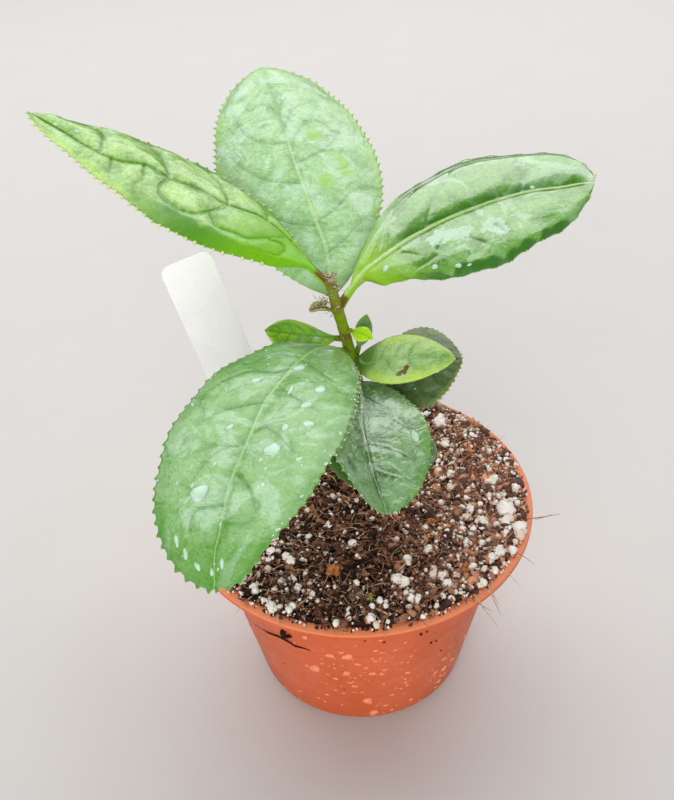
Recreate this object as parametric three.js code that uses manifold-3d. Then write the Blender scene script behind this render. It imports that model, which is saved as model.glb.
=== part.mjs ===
// A young tea plant in a nine-centimetre plastic pot, with a blank plant label.
// Millimetres, +Z up, origin at the centre of the pot's flat underside.
// The plant is seen from the front when looking along +Y, with +X to the right.
import * as THREE from "three";
import { mergeVertices } from "three/addons/utils/BufferGeometryUtils.js";
import Module from "manifold-3d";

const wasm = await Module();
wasm.setup();

// The gap that keeps neighbouring pieces apart.
const GAP = 0.3;

// Pot: a thin tapered wall, a short collar above a small step, and a flat lip that stands out over it.
const POT = {
  rimRadius: 45,
  height: 56,
  footRadius: 29.2,
  wallRadius: 38.2,
  collarRadius: 39.4,
  collarHeight: 5,
  collarTaper: 0.4,
  stepHeight: 0.8,
  lipThickness: 1.5,
  lipEdge: 0.5,
  lipDroop: 0.2,
  mouthChamfer: 0.5,
  wall: 1.2,
  floor: 1.6,
  footChamfer: 1.2,
  sides: 60,
};
const DRAIN_HOLES = { count: 8, radius: 2.5, ringRadius: 20, sides: 16 };

// Potting mix: fills the pot, laps over the lip's inner edge and is heaped a little at the back right.
const MIX = {
  level: 57,
  edgeRadius: 42.2,
  edgeLevel: 56.9,
  edgeWidth: 5,
  heap: { x: 22, y: 27, height: 2.4, spread: 13 },
  lumpHeight: 0.7,
  flatRoundStem: 5,
  topRings: [7, 14, 21, 28, 34, 38.5],
  sides: 48,
};

// Stem: one slender leaning stem that tapers to a dried bud.
const STEM = {
  foot: new THREE.Vector3(6, 0, MIX.level + GAP),
  top: new THREE.Vector3(-4.8, 0, 122),
  bow: 1,
  footRadius: 1.6,
  topRadius: 1.15,
  flare: 1.1,
  flareHeight: 5,
  nodeSwelling: 0.35,
  nodeSpread: 1.6,
  budHeight: 2.5,
  sides: 10,
  steps: 30,
};

// Label: a plain flat stick with round top corners and a pointed foot.
const LABEL = {
  width: 13.5,
  thickness: 0.8,
  above: 58,
  below: 40,
  pointHeight: 12,
  pointWidth: 3,
  cornerRadius: 2.5,
  cornerSteps: 5,
  at: new THREE.Vector3(-25, 22, MIX.level),
  leanLeft: 15.5,
  leanBack: 6,
  turn: 14,
};

// What the leaves share. A leaf shorter than smallLength is thinner and has fewer strips, and the
// petiole and rib of a short leaf are slimmer too.
const BLADE = {
  petioleSteps: 2,
  steps: 12,
  halfStrips: 3,
  smallHalfStrips: 2,
  smallLength: 30,
  thickness: 0.8,
  smallThickness: 0.45,
  marginThinning: 0.3,
  ribDepth: 1,
  tipWidth: 0.6,
  petioleWidth: 1.9,
  petioleThickness: 1.5,
  petioleRounding: 0.6,
  petioleBlend: 0.12,
};

// Leaves. height is where the petiole leaves the stem, measured from the pot's underside. azimuth and
// rise point the petiole; turn and droop are how far the midrib has swung and sunk at the tip, and
// droopPower above 1 leaves the droop to the tip. roll and twist bank the blade about its midrib, fold
// lifts each half and curl bends it. widest is where along the blade it is broadest, and a lower
// baseFullness or tipFullness makes that end blunter. Lengths in millimetres, angles in degrees.
const LEAVES = {
  leaf_upper_left: {
    height: 121.5, azimuth: 139, turn: 32, rise: 28, droop: 11, droopPower: 0.65, petiole: 3,
    length: 76, width: 34, widest: 0.45, baseFullness: 1, tipFullness: 0.8,
    roll: 17, twist: -15, fold: -4, curl: -9, color: 0x86a83a,
  },
  leaf_upper_back: {
    height: 112, azimuth: 104, turn: -1, rise: 35, droop: 37, droopPower: 1.6, petiole: 7,
    length: 75, width: 43, widest: 0.5, baseFullness: 0.55, tipFullness: 0.4,
    roll: -15, twist: 10, fold: -6, curl: -29, color: 0x7fa878,
  },
  leaf_upper_right: {
    height: 116, azimuth: 31, turn: -50, rise: 54, droop: 47, droopPower: 0.5, petiole: 5,
    length: 58, width: 35, widest: 0.56, baseFullness: 0.8, tipFullness: 0.55,
    roll: 9, twist: 6, fold: 2, curl: -17, color: 0x3f7a34,
  },
  leaf_front_large: {
    height: 104, azimuth: 242, turn: 17, rise: 38, droop: 62, droopPower: 0.8, petiole: 3,
    length: 79, width: 35, widest: 0.6, baseFullness: 0.45, tipFullness: 0.8,
    roll: -10, twist: 30, fold: 5, curl: -10, color: 0x5f9560,
  },
  leaf_front_low: {
    height: 97, azimuth: 272, turn: 11, rise: 7, droop: 41, droopPower: 1, petiole: 3,
    length: 37, width: 27, widest: 0.55, baseFullness: 0.6, tipFullness: 0.6,
    roll: -4, twist: -24, fold: 17, curl: 10, color: 0x4a7a4c,
  },
  leaf_front_under: {
    height: 90, azimuth: 281, turn: -12, rise: 6, droop: 40, droopPower: 1, petiole: 3,
    length: 27, width: 28, widest: 0.55, baseFullness: 0.8, tipFullness: 0.7,
    roll: -12, twist: 0, fold: 10, curl: 0, color: 0x3a6a34,
  },
  leaf_right_spotted: {
    height: 101, azimuth: 350, turn: 1, rise: 7, droop: 7, droopPower: 1, petiole: 2,
    length: 22, width: 17.5, widest: 0.43, baseFullness: 0.8, tipFullness: 0.7,
    roll: 6, twist: 0, fold: 3, curl: -7, color: 0x7ba24a,
  },
  leaf_right_back: {
    height: 97, azimuth: 0, turn: -8, rise: 13, droop: 12, droopPower: 1, petiole: 2,
    length: 23, width: 27, widest: 0.57, baseFullness: 0.8, tipFullness: 0.7,
    roll: 5, twist: 5, fold: 0, curl: -15, color: 0x35603a,
  },
  leaf_left_small: {
    height: 106.5, azimuth: 187, turn: -7, rise: 15, droop: 4, droopPower: 1, petiole: 1,
    length: 16, width: 14, widest: 0.6, baseFullness: 0.8, tipFullness: 0.75,
    roll: 1, twist: -4, fold: -1, curl: -16, color: 0x5c9440,
  },
  leaf_young_bright: {
    height: 108, azimuth: 320, turn: 0, rise: 12, droop: 20, droopPower: 1, petiole: 0.5,
    length: 5, width: 3.8, widest: 0.5, baseFullness: 0.8, tipFullness: 0.8,
    roll: 0, twist: 0, fold: 0, curl: -8, color: 0xb4c43c,
  },
  leaf_young_green: {
    height: 104, azimuth: 45, turn: 0, rise: 55, droop: -8, droopPower: 1, petiole: 0.5,
    length: 8, width: 4.5, widest: 0.5, baseFullness: 0.8, tipFullness: 0.8,
    roll: 20, twist: 0, fold: 0, curl: -20, color: 0x6f9a45,
  },
  dried_bract: {
    height: 112, azimuth: 190, turn: 0, rise: 35, droop: 60, droopPower: 1, petiole: 0.5,
    length: 5, width: 4.5, widest: 0.5, baseFullness: 0.7, tipFullness: 0.6,
    roll: 0, twist: 20, fold: 15, curl: 60, color: 0x6b5a3a,
  },
};

const radians = THREE.MathUtils.degToRad;
const clamp01 = (x) => THREE.MathUtils.clamp(x, 0, 1);
const smooth = (low, high, x) => THREE.MathUtils.smoothstep(x, low, high);

// A geometry with only its positions, and its shared corners merged.
function closed(geometry) {
  geometry.deleteAttribute("normal");
  geometry.deleteAttribute("uv");
  return mergeVertices(geometry, 1e-4);
}

function solidOf(geometry) {
  const merged = closed(geometry);
  return new wasm.Manifold(
    new wasm.Mesh({
      numProp: 3,
      vertProperties: merged.attributes.position.array,
      triVerts: new Uint32Array(merged.index.array),
    }),
  );
}

function geometryOf(solid) {
  const mesh = solid.getMesh();
  return new THREE.BufferGeometry()
    .setAttribute("position", new THREE.BufferAttribute(mesh.vertProperties, 3))
    .setIndex(new THREE.BufferAttribute(mesh.triVerts, 1));
}

// Moves every vertex of a geometry by a rule that takes its old place and gives its new one.
function reshape(geometry, rule) {
  const shaped = closed(geometry);
  const positions = shaped.attributes.position;
  const point = new THREE.Vector3();
  for (let i = 0; i < positions.count; i++) {
    point.fromBufferAttribute(positions, i);
    rule(point);
    positions.setXYZ(i, point.x, point.y, point.z);
  }
  return shaped;
}

// A solid of revolution about Z from [radius, height] corners.
function turned(profile, sides) {
  const points = profile.map(([radius, height]) => new THREE.Vector2(radius, height));
  return new THREE.LatheGeometry(points, sides).rotateX(Math.PI / 2);
}

// Pot
function potGeometry() {
  const { rimRadius, height, footRadius, wallRadius, collarRadius, wall, floor } = POT;
  const lipBottom = height - POT.lipThickness;
  const collarBottom = lipBottom - POT.collarHeight;
  const mouthRadius = collarRadius - wall;
  const profile = [
    [0, 0],
    [footRadius - POT.footChamfer, 0],
    [footRadius, POT.footChamfer],
    [wallRadius, collarBottom - POT.stepHeight],
    [collarRadius - POT.collarTaper, collarBottom],
    [collarRadius, lipBottom],
    [rimRadius - POT.lipEdge, lipBottom - POT.lipDroop],
    [rimRadius, lipBottom + POT.lipEdge],
    [rimRadius - POT.lipEdge, height],
    [mouthRadius + POT.mouthChamfer, height],
    [mouthRadius, height - POT.mouthChamfer],
    [footRadius - wall, floor],
    [0, floor],
  ];
  let pot = solidOf(turned(profile, POT.sides));
  for (let i = 0; i < DRAIN_HOLES.count; i++) {
    const angle = (2 * Math.PI * i) / DRAIN_HOLES.count;
    const hole = new THREE.CylinderGeometry(
      DRAIN_HOLES.radius,
      DRAIN_HOLES.radius,
      3 * floor,
      DRAIN_HOLES.sides,
    )
      .rotateX(Math.PI / 2)
      .translate(DRAIN_HOLES.ringRadius * Math.cos(angle), DRAIN_HOLES.ringRadius * Math.sin(angle), 0);
    pot = pot.subtract(solidOf(hole));
  }
  return geometryOf(pot);
}

// Label
const LABEL_UP = new THREE.Vector3(
  -Math.tan(radians(LABEL.leanLeft)),
  Math.tan(radians(LABEL.leanBack)),
  1,
).normalize();

function labelGeometry(grow) {
  const half = LABEL.width / 2 + grow;
  const top = LABEL.above + grow;
  const radius = LABEL.cornerRadius;
  const bottom = -LABEL.below - grow;
  const shoulder = bottom + LABEL.pointHeight;
  const pointHalf = LABEL.pointWidth / 2 + grow;
  const outline = new THREE.Shape();
  outline.moveTo(-pointHalf, bottom);
  outline.lineTo(pointHalf, bottom);
  outline.lineTo(half, shoulder);
  outline.lineTo(half, top - radius);
  outline.absarc(half - radius, top - radius, radius, 0, Math.PI / 2);
  outline.absarc(radius - half, top - radius, radius, Math.PI / 2, Math.PI);
  outline.lineTo(-half, shoulder);
  const depth = LABEL.thickness + 2 * grow;
  const flat = new THREE.ExtrudeGeometry(outline, {
    depth,
    bevelEnabled: false,
    curveSegments: LABEL.cornerSteps,
  });
  flat.translate(0, 0, -depth / 2);
  const turn = radians(LABEL.turn);
  const right = new THREE.Vector3(Math.cos(turn), Math.sin(turn), 0);
  right.addScaledVector(LABEL_UP, -right.dot(LABEL_UP)).normalize();
  const facing = new THREE.Vector3().crossVectors(right, LABEL_UP);
  const place = new THREE.Matrix4().makeBasis(right, LABEL_UP, facing).setPosition(LABEL.at);
  return flat.applyMatrix4(place);
}

// Potting mix: its surface is flat where the stem stands, and its lumps and heap fade out at the rim.
function mixHeight(x, y) {
  const { heap, lumpHeight, level, edgeLevel, edgeRadius, edgeWidth, flatRoundStem } = MIX;
  const fromHeap = Math.hypot(x - heap.x, y - heap.y);
  const heaped = heap.height * Math.exp(-0.5 * (fromHeap / heap.spread) ** 2);
  const wide = Math.sin(0.31 * x + 1.3) * Math.sin(0.27 * y - 0.4);
  const narrow = 0.4 * Math.sin(0.7 * x - 0.5 * y);
  const fromStem = Math.hypot(x - STEM.foot.x, y - STEM.foot.y);
  const offStem = smooth(flatRoundStem, 3 * flatRoundStem, fromStem);
  const inner = smooth(0, edgeWidth, edgeRadius - Math.hypot(x, y));
  const raised = (heaped + lumpHeight * (wide + narrow)) * offStem * (0.35 + 0.65 * inner);
  return edgeLevel + (level - edgeLevel) * inner + raised;
}

function mixGeometry() {
  const mouthRadius = POT.collarRadius - POT.wall - 1.6 * GAP;
  const bottomRadius = POT.footRadius - POT.wall - 2 * GAP;
  const bottom = POT.floor + GAP;
  const overLip = POT.height + GAP;
  const top = [...MIX.topRings].reverse().map((radius) => [radius, MIX.level]);
  const profile = [
    [0, bottom],
    [bottomRadius, bottom],
    [mouthRadius, overLip],
    [MIX.edgeRadius, overLip],
    ...top,
    [0, MIX.level],
  ];
  const plain = turned(profile, MIX.sides);
  const heaped = reshape(plain, (p) => {
    if (p.z > (overLip + MIX.level) / 2) p.z = mixHeight(p.x, p.y);
  });
  const slot = solidOf(labelGeometry(GAP));
  return geometryOf(solidOf(heaped).subtract(slot));
}

// Stem: where its axis is, and how thick it is, at a height above the pot's underside.
function stemPoint(height) {
  const t = (height - STEM.foot.z) / (STEM.top.z - STEM.foot.z);
  const point = new THREE.Vector3().lerpVectors(STEM.foot, STEM.top, t);
  point.x += STEM.bow * Math.sin(Math.PI * clamp01(t));
  return point;
}

function stemRadius(height) {
  const t = clamp01((height - STEM.foot.z) / (STEM.top.z - STEM.foot.z));
  let radius = STEM.footRadius + (STEM.topRadius - STEM.footRadius) * t;
  radius += STEM.flare * Math.exp(-(height - STEM.foot.z) / (STEM.flareHeight / 2));
  for (const leaf of Object.values(LEAVES)) {
    radius = Math.max(
      radius,
      STEM.topRadius + STEM.nodeSwelling * Math.exp(-(((height - leaf.height) / STEM.nodeSpread) ** 2)),
    );
  }
  const intoBud = clamp01((height - STEM.top.z) / STEM.budHeight);
  return radius * Math.sqrt(1 - 0.97 * intoBud ** 2);
}

function stemGeometry() {
  const height = STEM.top.z + STEM.budHeight - STEM.foot.z;
  const rod = new THREE.CylinderGeometry(1, 1, height, STEM.sides, STEM.steps)
    .rotateX(Math.PI / 2)
    .translate(0, 0, STEM.foot.z + height / 2);
  return reshape(rod, (p) => {
    const centre = stemPoint(p.z);
    const radius = stemRadius(p.z);
    p.set(centre.x + radius * p.x, centre.y + radius * p.y, p.z);
  });
}

// Leaves: the midrib is walked out from the stem in short steps, and the blade hangs on it.
const MIDRIB_STEPS = 60;

function heading(leaf, share) {
  const azimuth = radians(leaf.azimuth + leaf.turn * share);
  const rise = radians(leaf.rise - leaf.droop * share ** leaf.droopPower);
  const across = new THREE.Vector3(-Math.sin(azimuth), Math.cos(azimuth), 0);
  const along = new THREE.Vector3(
    Math.cos(rise) * Math.cos(azimuth),
    Math.cos(rise) * Math.sin(azimuth),
    Math.sin(rise),
  );
  return { along, across, up: new THREE.Vector3().crossVectors(along, across) };
}

function midrib(leaf) {
  const reach = leaf.petiole + leaf.length;
  const out = new THREE.Vector3(Math.cos(radians(leaf.azimuth)), Math.sin(radians(leaf.azimuth)), 0);
  const clear = stemRadius(leaf.height) + GAP + (BLADE.petioleThickness / 2) * Math.sin(radians(leaf.rise));
  const points = [stemPoint(leaf.height).addScaledVector(out, clear)];
  for (let i = 0; i < MIDRIB_STEPS; i++) {
    const { along } = heading(leaf, (i + 0.5) / MIDRIB_STEPS);
    points.push(points[i].clone().addScaledVector(along, reach / MIDRIB_STEPS));
  }
  return (share) => {
    const place = Math.min(share * MIDRIB_STEPS, MIDRIB_STEPS - 1e-6);
    const step = Math.floor(place);
    return points[step].clone().lerp(points[step + 1], place - step);
  };
}

// Half the blade's width at t, which runs from 0 at its base to 1 at its tip.
function halfWidth(leaf, t) {
  const power = Math.log(0.5) / Math.log(leaf.widest);
  const fullness = leaf.baseFullness + (leaf.tipFullness - leaf.baseFullness) * smooth(0, 1, t);
  return (leaf.width / 2) * Math.max(Math.sin(Math.PI * t ** power), 0) ** fullness;
}

// The blade's section: how far out and how high a point lies that is at v (from -1 to 1) across it.
function section(leaf, v) {
  const fold = radians(leaf.fold);
  const curl = radians(leaf.curl) || 1e-6;
  const q = Math.abs(v);
  return {
    out: (Math.sign(v) * (Math.sin(fold + curl * q) - Math.sin(fold))) / curl,
    lift: (Math.cos(fold) - Math.cos(fold + curl * q)) / curl,
  };
}

// A slab as long as the leaf has steps is bent into the petiole and the blade.
function leafGeometry(leaf) {
  const small = leaf.length < BLADE.smallLength;
  const halfStrips = small ? BLADE.smallHalfStrips : BLADE.halfStrips;
  const thickness = small ? BLADE.smallThickness : BLADE.thickness;
  const slimness = Math.min(1, 0.45 + leaf.length / 50);
  const petioleShare = leaf.petiole / (leaf.petiole + leaf.length);
  const steps = BLADE.petioleSteps + BLADE.steps;
  const rib = midrib(leaf);
  const slab = new THREE.BoxGeometry(steps, 2, 1, steps, 2 * halfStrips, 1).translate(steps / 2, 0, 0);
  return reshape(slab, (p) => {
    const step = Math.round(p.x);
    const v = p.y;
    const side = Math.sign(p.z);
    const t = clamp01((step - BLADE.petioleSteps) / BLADE.steps);
    const onPetiole = step <= BLADE.petioleSteps;
    const alongPetiole = (petioleShare * step) / BLADE.petioleSteps;
    const share = onPetiole ? alongPetiole : petioleShare + t * (1 - petioleShare);
    const { along, across, up } = heading(leaf, share);
    const bank = radians(leaf.roll + leaf.twist * t);
    across.applyAxisAngle(along, bank);
    up.applyAxisAngle(along, bank);

    const stalk = 1 - smooth(0, BLADE.petioleBlend, t);
    const narrowest = slimness * BLADE.petioleWidth * stalk + BLADE.tipWidth * (1 - stalk);
    const half = Math.max(halfWidth(leaf, t), narrowest / 2);
    const { out, lift } = onPetiole ? { out: v, lift: 0 } : section(leaf, v);

    const stalkDepth = slimness * BLADE.petioleThickness * (1 - BLADE.petioleRounding * v * v);
    const bladeDepth = thickness * (1 - BLADE.marginThinning * Math.abs(v) ** 3);
    const ribDepth = v === 0 && side < 0 ? slimness * BLADE.ribDepth * (1 - t) : 0;
    const depth = stalkDepth * stalk + (bladeDepth + ribDepth) * (1 - stalk);
    p.copy(rib(share));
    p.addScaledVector(across, out * half);
    p.addScaledVector(up, lift * half + (side * depth) / 2);
  });
}

// Assembly
function sub(name, geometry, color, roughness) {
  const mesh = new THREE.Mesh(geometry, new THREE.MeshStandardMaterial({ color, roughness, metalness: 0 }));
  mesh.name = name;
  return mesh;
}

const plant = new THREE.Group();
plant.add(sub("pot", potGeometry(), 0xc96a46, 0.5));
plant.add(sub("potting_mix", mixGeometry(), 0x3a2a22, 0.95));
plant.add(sub("plant_label", closed(labelGeometry(0)), 0xf0f0ee, 0.4));
plant.add(sub("stem", stemGeometry(), 0x66703a, 0.6));
for (const [name, leaf] of Object.entries(LEAVES)) {
  plant.add(sub(name, leafGeometry(leaf), leaf.color, 0.35));
}

export default plant;
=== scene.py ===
"""A young tea plant in a small plastic pot: finely modelled leaves, stem, potting mix, pot and label
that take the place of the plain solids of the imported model.

Everything is in metres, +Z up, with the origin at the centre of the pot's flat underside. The plant is
seen from the front when looking along +Y, with +X to the right.
"""
import math
import random

import bmesh
import bpy
import numpy as np
from bpy.props import CollectionProperty, FloatProperty, FloatVectorProperty, IntProperty, PointerProperty
from mathutils import Matrix, Quaternion, Vector, noise


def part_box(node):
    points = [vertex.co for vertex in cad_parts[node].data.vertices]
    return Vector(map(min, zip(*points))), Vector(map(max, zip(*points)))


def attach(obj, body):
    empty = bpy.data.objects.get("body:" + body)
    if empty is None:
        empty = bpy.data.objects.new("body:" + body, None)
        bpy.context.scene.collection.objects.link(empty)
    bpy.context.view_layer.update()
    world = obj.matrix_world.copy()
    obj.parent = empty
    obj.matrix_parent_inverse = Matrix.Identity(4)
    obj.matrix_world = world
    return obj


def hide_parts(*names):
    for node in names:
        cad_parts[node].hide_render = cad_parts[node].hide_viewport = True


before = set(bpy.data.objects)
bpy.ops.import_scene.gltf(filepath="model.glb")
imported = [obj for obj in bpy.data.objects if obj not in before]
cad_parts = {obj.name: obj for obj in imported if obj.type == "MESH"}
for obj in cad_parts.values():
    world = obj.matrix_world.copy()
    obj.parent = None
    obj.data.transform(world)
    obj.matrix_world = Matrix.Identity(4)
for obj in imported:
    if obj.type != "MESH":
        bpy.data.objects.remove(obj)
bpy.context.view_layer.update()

bl_info = {
    "name": "Young Potted Tea Plant",
    "version": (1, 0, 0),
    "blender": (4, 5, 0),
    "location": "View3D > Sidebar > Tea Plant",
    "description": "Grows a young tea plant in its pot, with its potting mix, label and water drops",
    "category": "Add Mesh",
}

MM = 0.001
PHOTO_LONG_SIDE = 800

POT_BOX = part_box("pot")


# Small helpers

def srgb(code):
    """The linear colour of a six-digit screen colour."""
    screen = [(code >> shift & 255) / 255 for shift in (16, 8, 0)]
    return tuple(c / 12.92 if c <= 0.04045 else ((c + 0.055) / 1.055) ** 2.4 for c in screen)


def smooth(low, high, x):
    """Runs smoothly from 0 to 1 as x goes from low to high."""
    share = np.clip((np.asarray(x, float) - low) / (high - low), 0, 1)
    return share * share * (3 - 2 * share)


# Settings that a user would change. Each of these makes one of them.

def length(name, description, millimetres):
    return FloatProperty(
        name=name, description=description, default=millimetres * MM, subtype="DISTANCE", unit="LENGTH",
        precision=4,
    )


def angle(name, description, degrees):
    return FloatProperty(
        name=name, description=description, default=math.radians(degrees), subtype="ANGLE", unit="ROTATION",
    )


def number(name, description, value):
    return FloatProperty(name=name, description=description, default=value)


def count(name, description, value):
    return IntProperty(name=name, description=description, default=value, min=0)


def colour(name, description, code):
    return FloatVectorProperty(
        name=name, description=description, default=srgb(code), size=3, min=0, max=1, subtype="COLOR",
    )


class PotSettings(bpy.types.PropertyGroup):
    """A thin tapered pot with a short collar above a small step and a flat lip."""
    rim_radius: length("Rim radius", "Outer radius of the flat lip", POT_BOX[1].x / MM)
    height: length("Height", "From the underside to the top of the lip", POT_BOX[1].z / MM)
    foot_radius: length("Foot radius", "Outer radius at the underside", 29.2)
    wall_radius: length("Wall radius", "Outer radius where the wall meets the collar's step", 38.2)
    collar_radius: length("Collar radius", "Outer radius just under the lip", 39.4)
    collar_height: length("Collar height", "From the step to the lip", 5)
    collar_taper: length("Collar taper", "How far the collar draws in downwards", 0.4)
    step_height: length("Step height", "Height of the small step under the collar", 0.8)
    lip_thickness: length("Lip thickness", "Thickness of the flat lip", 1.5)
    wall: length("Wall", "Thickness of the wall", 1.2)
    floor: length("Floor", "Thickness of the floor", 1.6)
    foot_bevel: length("Foot bevel", "Rounding of the foot's edge", 1.2)
    edge_bevel: length("Edge bevel", "Rounding of the other edges", 0.35)
    hole_radius: length("Hole radius", "Radius of a drain hole", 2.5)
    hole_ring: length("Hole ring", "Radius of the ring of drain holes", 20)
    holes: count("Holes", "How many drain holes there are", 8)
    body: colour("Body", "Colour of the plastic", 0xCB5A2C)


class MixSettings(bpy.types.PropertyGroup):
    """Moist peat with fibres and perlite, heaped a little at the back right."""
    level: length("Level", "Height of the surface above the pot's underside", 57)
    edge_level: length("Edge level", "Height of the surface at its edge", 56.9)
    edge_radius: length("Edge radius", "How far the mix laps over the lip", 43.0)
    edge_width: length("Edge width", "How wide the sloping edge is", 5)
    heap_height: length("Heap height", "Height of the heap at the back right", 2.4)
    heap_spread: length("Heap spread", "How wide the heap is", 13)
    lump_height: length("Lump height", "Height of the broad lumps", 0.7)
    crumbs: count("Crumbs", "How many peat crumbs lie on the surface", 7600)
    fibres: count("Fibres", "How many peat fibres lie on the surface", 4600)
    grains: count("Grains", "How many small perlite grains are scattered", 2900)
    dark: colour("Dark peat", "Colour of the wet peat", 0x2E1D17)
    brown: colour("Brown peat", "Colour of the drier peat", 0x7A5240)
    rust: colour("Rusty peat", "Colour of the red-brown fibres", 0xAA7858)
    straw: colour("Straw", "Colour of the pale fibres", 0xD8B492)
    white: colour("Perlite", "Colour of the perlite grains", 0xF4EDE6)


class StemSettings(bpy.types.PropertyGroup):
    """One slender leaning stem that ends in a dried bud."""
    foot: FloatVectorProperty(
        name="Foot", description="Where the stem leaves the mix", size=3, subtype="TRANSLATION",
        unit="LENGTH", default=(6 * MM, 0, 57.3 * MM),
    )
    top: FloatVectorProperty(
        name="Top", description="Where the bud sits", size=3, subtype="TRANSLATION",
        unit="LENGTH", default=(-4.8 * MM, 0, 122 * MM),
    )
    bow: length("Bow", "How far the stem bows out half-way up", 1)
    foot_radius: length("Foot radius", "Radius at the foot", 1.6)
    top_radius: length("Top radius", "Radius at the top", 1.2)
    flare: length("Flare", "How much the foot widens", 1.1)
    node_swelling: length("Node swelling", "How much the stem swells where a leaf leaves it", 0.15)
    bud_height: length("Bud height", "Height of the dried bud", 1.3)
    green: colour("Green bark", "Colour of the young bark", 0x849E0C)
    brown: colour("Brown bark", "Colour of the bark at the nodes and the foot", 0x7A5226)


class LabelSettings(bpy.types.PropertyGroup):
    """A blank flat plant label pushed into the mix."""
    width: length("Width", "Width of the label", 13.5)
    thickness: length("Thickness", "Thickness of the label", 0.8)
    above: length("Above the mix", "How much of it stands above the mix", 58)
    below: length("Below the mix", "How much of it is in the mix", 40)
    point_height: length("Point height", "Length of the pointed foot", 12)
    point_width: length("Point width", "Width of the foot's end", 3)
    corner: length("Corner radius", "Radius of the top corners", 2.5)
    edge_bevel: length("Edge bevel", "Rounding of the edges", 0.15)
    lean_left: angle("Lean left", "How far it leans to the left", 15.5)
    lean_back: angle("Lean back", "How far it leans back", 6)
    turn: angle("Turn", "How far its face is turned from the front", 14)
    white: colour("Plastic", "Colour of the plastic", 0xFEFEFD)


class LeafSettings(bpy.types.PropertyGroup):
    """One leaf: how its petiole and midrib run, the blade's outline, its relief and its colours."""
    height: length("Height", "Where the petiole leaves the stem, above the pot's underside", 100)
    azimuth: angle("Azimuth", "Where the petiole points, turned from +X towards +Y", 0)
    turn: angle("Turn", "How far the midrib has swung round at the tip", 0)
    rise: angle("Rise", "How steeply the petiole rises", 10)
    droop: angle("Droop", "How far the midrib has sunk at the tip", 10)
    droop_power: number("Droop power", "Above 1 leaves the droop to the tip", 1)
    petiole: length("Petiole", "Length of the petiole", 1)
    length: length("Length", "Length of the blade", 20)
    width: length("Width", "Width of the blade", 15)
    widest: number("Widest", "Where along the blade it is broadest", 0.5)
    base_fullness: number("Base fullness", "A lower value makes the base blunter", 0.8)
    tip_fullness: number("Tip fullness", "A lower value makes the tip blunter", 0.8)
    right_base: number("Right half's base", "Where along the blade its right half starts", 0)
    roll: angle("Roll", "How far the blade banks about its midrib", 0)
    twist: angle("Twist", "How much more it banks at the tip", 0)
    fold: angle("Fold", "How far each half is lifted", 0)
    curl: angle("Curl", "How far each half bends", 0)
    rib: length("Midrib", "How high the midrib stands above the blade, or below 0 how deep it is sunk", -0.2)
    quilt: length("Quilting", "How high the blade bulges between its veins", 0.5)
    groove: length("Groove", "How deep the side veins are sunk", 0.25)
    bank: length("Bank", "How high the left half rises beside the midrib", 0)
    pillow: length("Pillow", "How far from a vein the blade has bulged up", 1.5)
    vein_width: length("Vein width", "Width of a side vein", 0.3)
    wave: length("Wave", "How high the margin waves", 0.3)
    left_roll: length("Left roll", "How far the left margin is rolled down", 0)
    right_roll: length("Right roll", "How far the right margin is rolled down", 0)
    left_start: number("Left roll's start", "Where across the left half the rolled margin starts", 0.8)
    left_end: number("Left roll's end", "Where along the blade the left margin's roll has faded", 2)
    right_start: number("Right roll's start", "Where across the right half the rolled margin starts", 0.8)
    tip_curl: length("Tip curl", "How far the tip is curled down", 0)
    tooth: length("Tooth", "How far a marginal tooth stands out", 0.45)
    tooth_pitch: length("Tooth pitch", "Distance between two teeth", 2.6)
    bead: length("Bead", "Radius of the pale bead on a tooth", 0.16)
    # The deep colour is painted into the hollows and, darker, onto the rolled margins as painted shade; the
    # pale colour onto the bulges as painted light.
    deep: colour("Deep", "Colour of the hollows and the rolled margins", 0x5C9440)
    pale: colour("Pale", "Colour of the bulges", 0x8DB86A)
    midrib: colour("Midrib", "Colour of the midrib", 0xA9CF88)
    vein: colour("Vein", "Colour of the side veins", 0x6F9E50)
    margin: colour("Margin", "Colour of the margin", 0x8FC05A)
    base: colour("Base", "Colour of the petiole and of the blade's base", 0x8EC915)
    fleck: colour("Flecks", "Colour of the flecks", 0xDDEBD2)
    stalk: colour("Stalk", "Colour of the petiole's foot", 0x7C8A20)
    margin_start: number("Margin start", "Where across the half blade the margin's colour starts", 0.78)
    margin_share: number("Margin share", "How strongly the margin is coloured", 0.5)
    base_reach: number("Base reach", "How far along the blade the base's colour reaches", 0.15)
    vein_share: number("Vein share", "How strongly the side veins are coloured", 0.6)
    left_shade: number("Left shade", "How dark the blade is beside the midrib, on its left", 0)
    right_shade: number("Right shade", "How dark the blade is beside the midrib, on its right", 0)
    shade_width: length("Shade width", "How wide that dark strip is", 1.5)
    rib_end: number("Midrib end", "Where along the blade the midrib fades", 2)
    rib_share: number("Midrib share", "How strongly the midrib is coloured", 0.9)
    crinkle: number("Crinkle", "How strongly the surface is crumpled on a small scale", 0.6)
    # haze sets the painted sheen: whitish patches that stand for light mirrored by a film of water.
    haze: number("Haze", "How strongly a whitish film covers parts of the blade", 0.15)
    speckle: number("Speckle", "How strongly the blade is flecked", 0.08)
    rough: number("Roughness", "How blurred the reflections are where no film of water lies", 0.42)
    wetness: number("Wetness", "From 0, satin, to 1, wet and glossy", 0.5)
    gloss: number("Gloss", "How strongly the blade's own surface shines", 0.6)


class WaterSettings(bpy.types.PropertyGroup):
    """Drops of water on the leaves and the pot."""
    leaf_drops: count("Leaf drops", "How many small drops lie on the leaves", 90)
    margin_drops: count("Margin drops", "How many beads hang on the leaves' margins", 40)
    pot_drops: count("Pot drops", "How many small drops cling to the pot", 260)
    flatness: number("Flatness", "Height of a drop as a share of its radius", 0.3)


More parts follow.
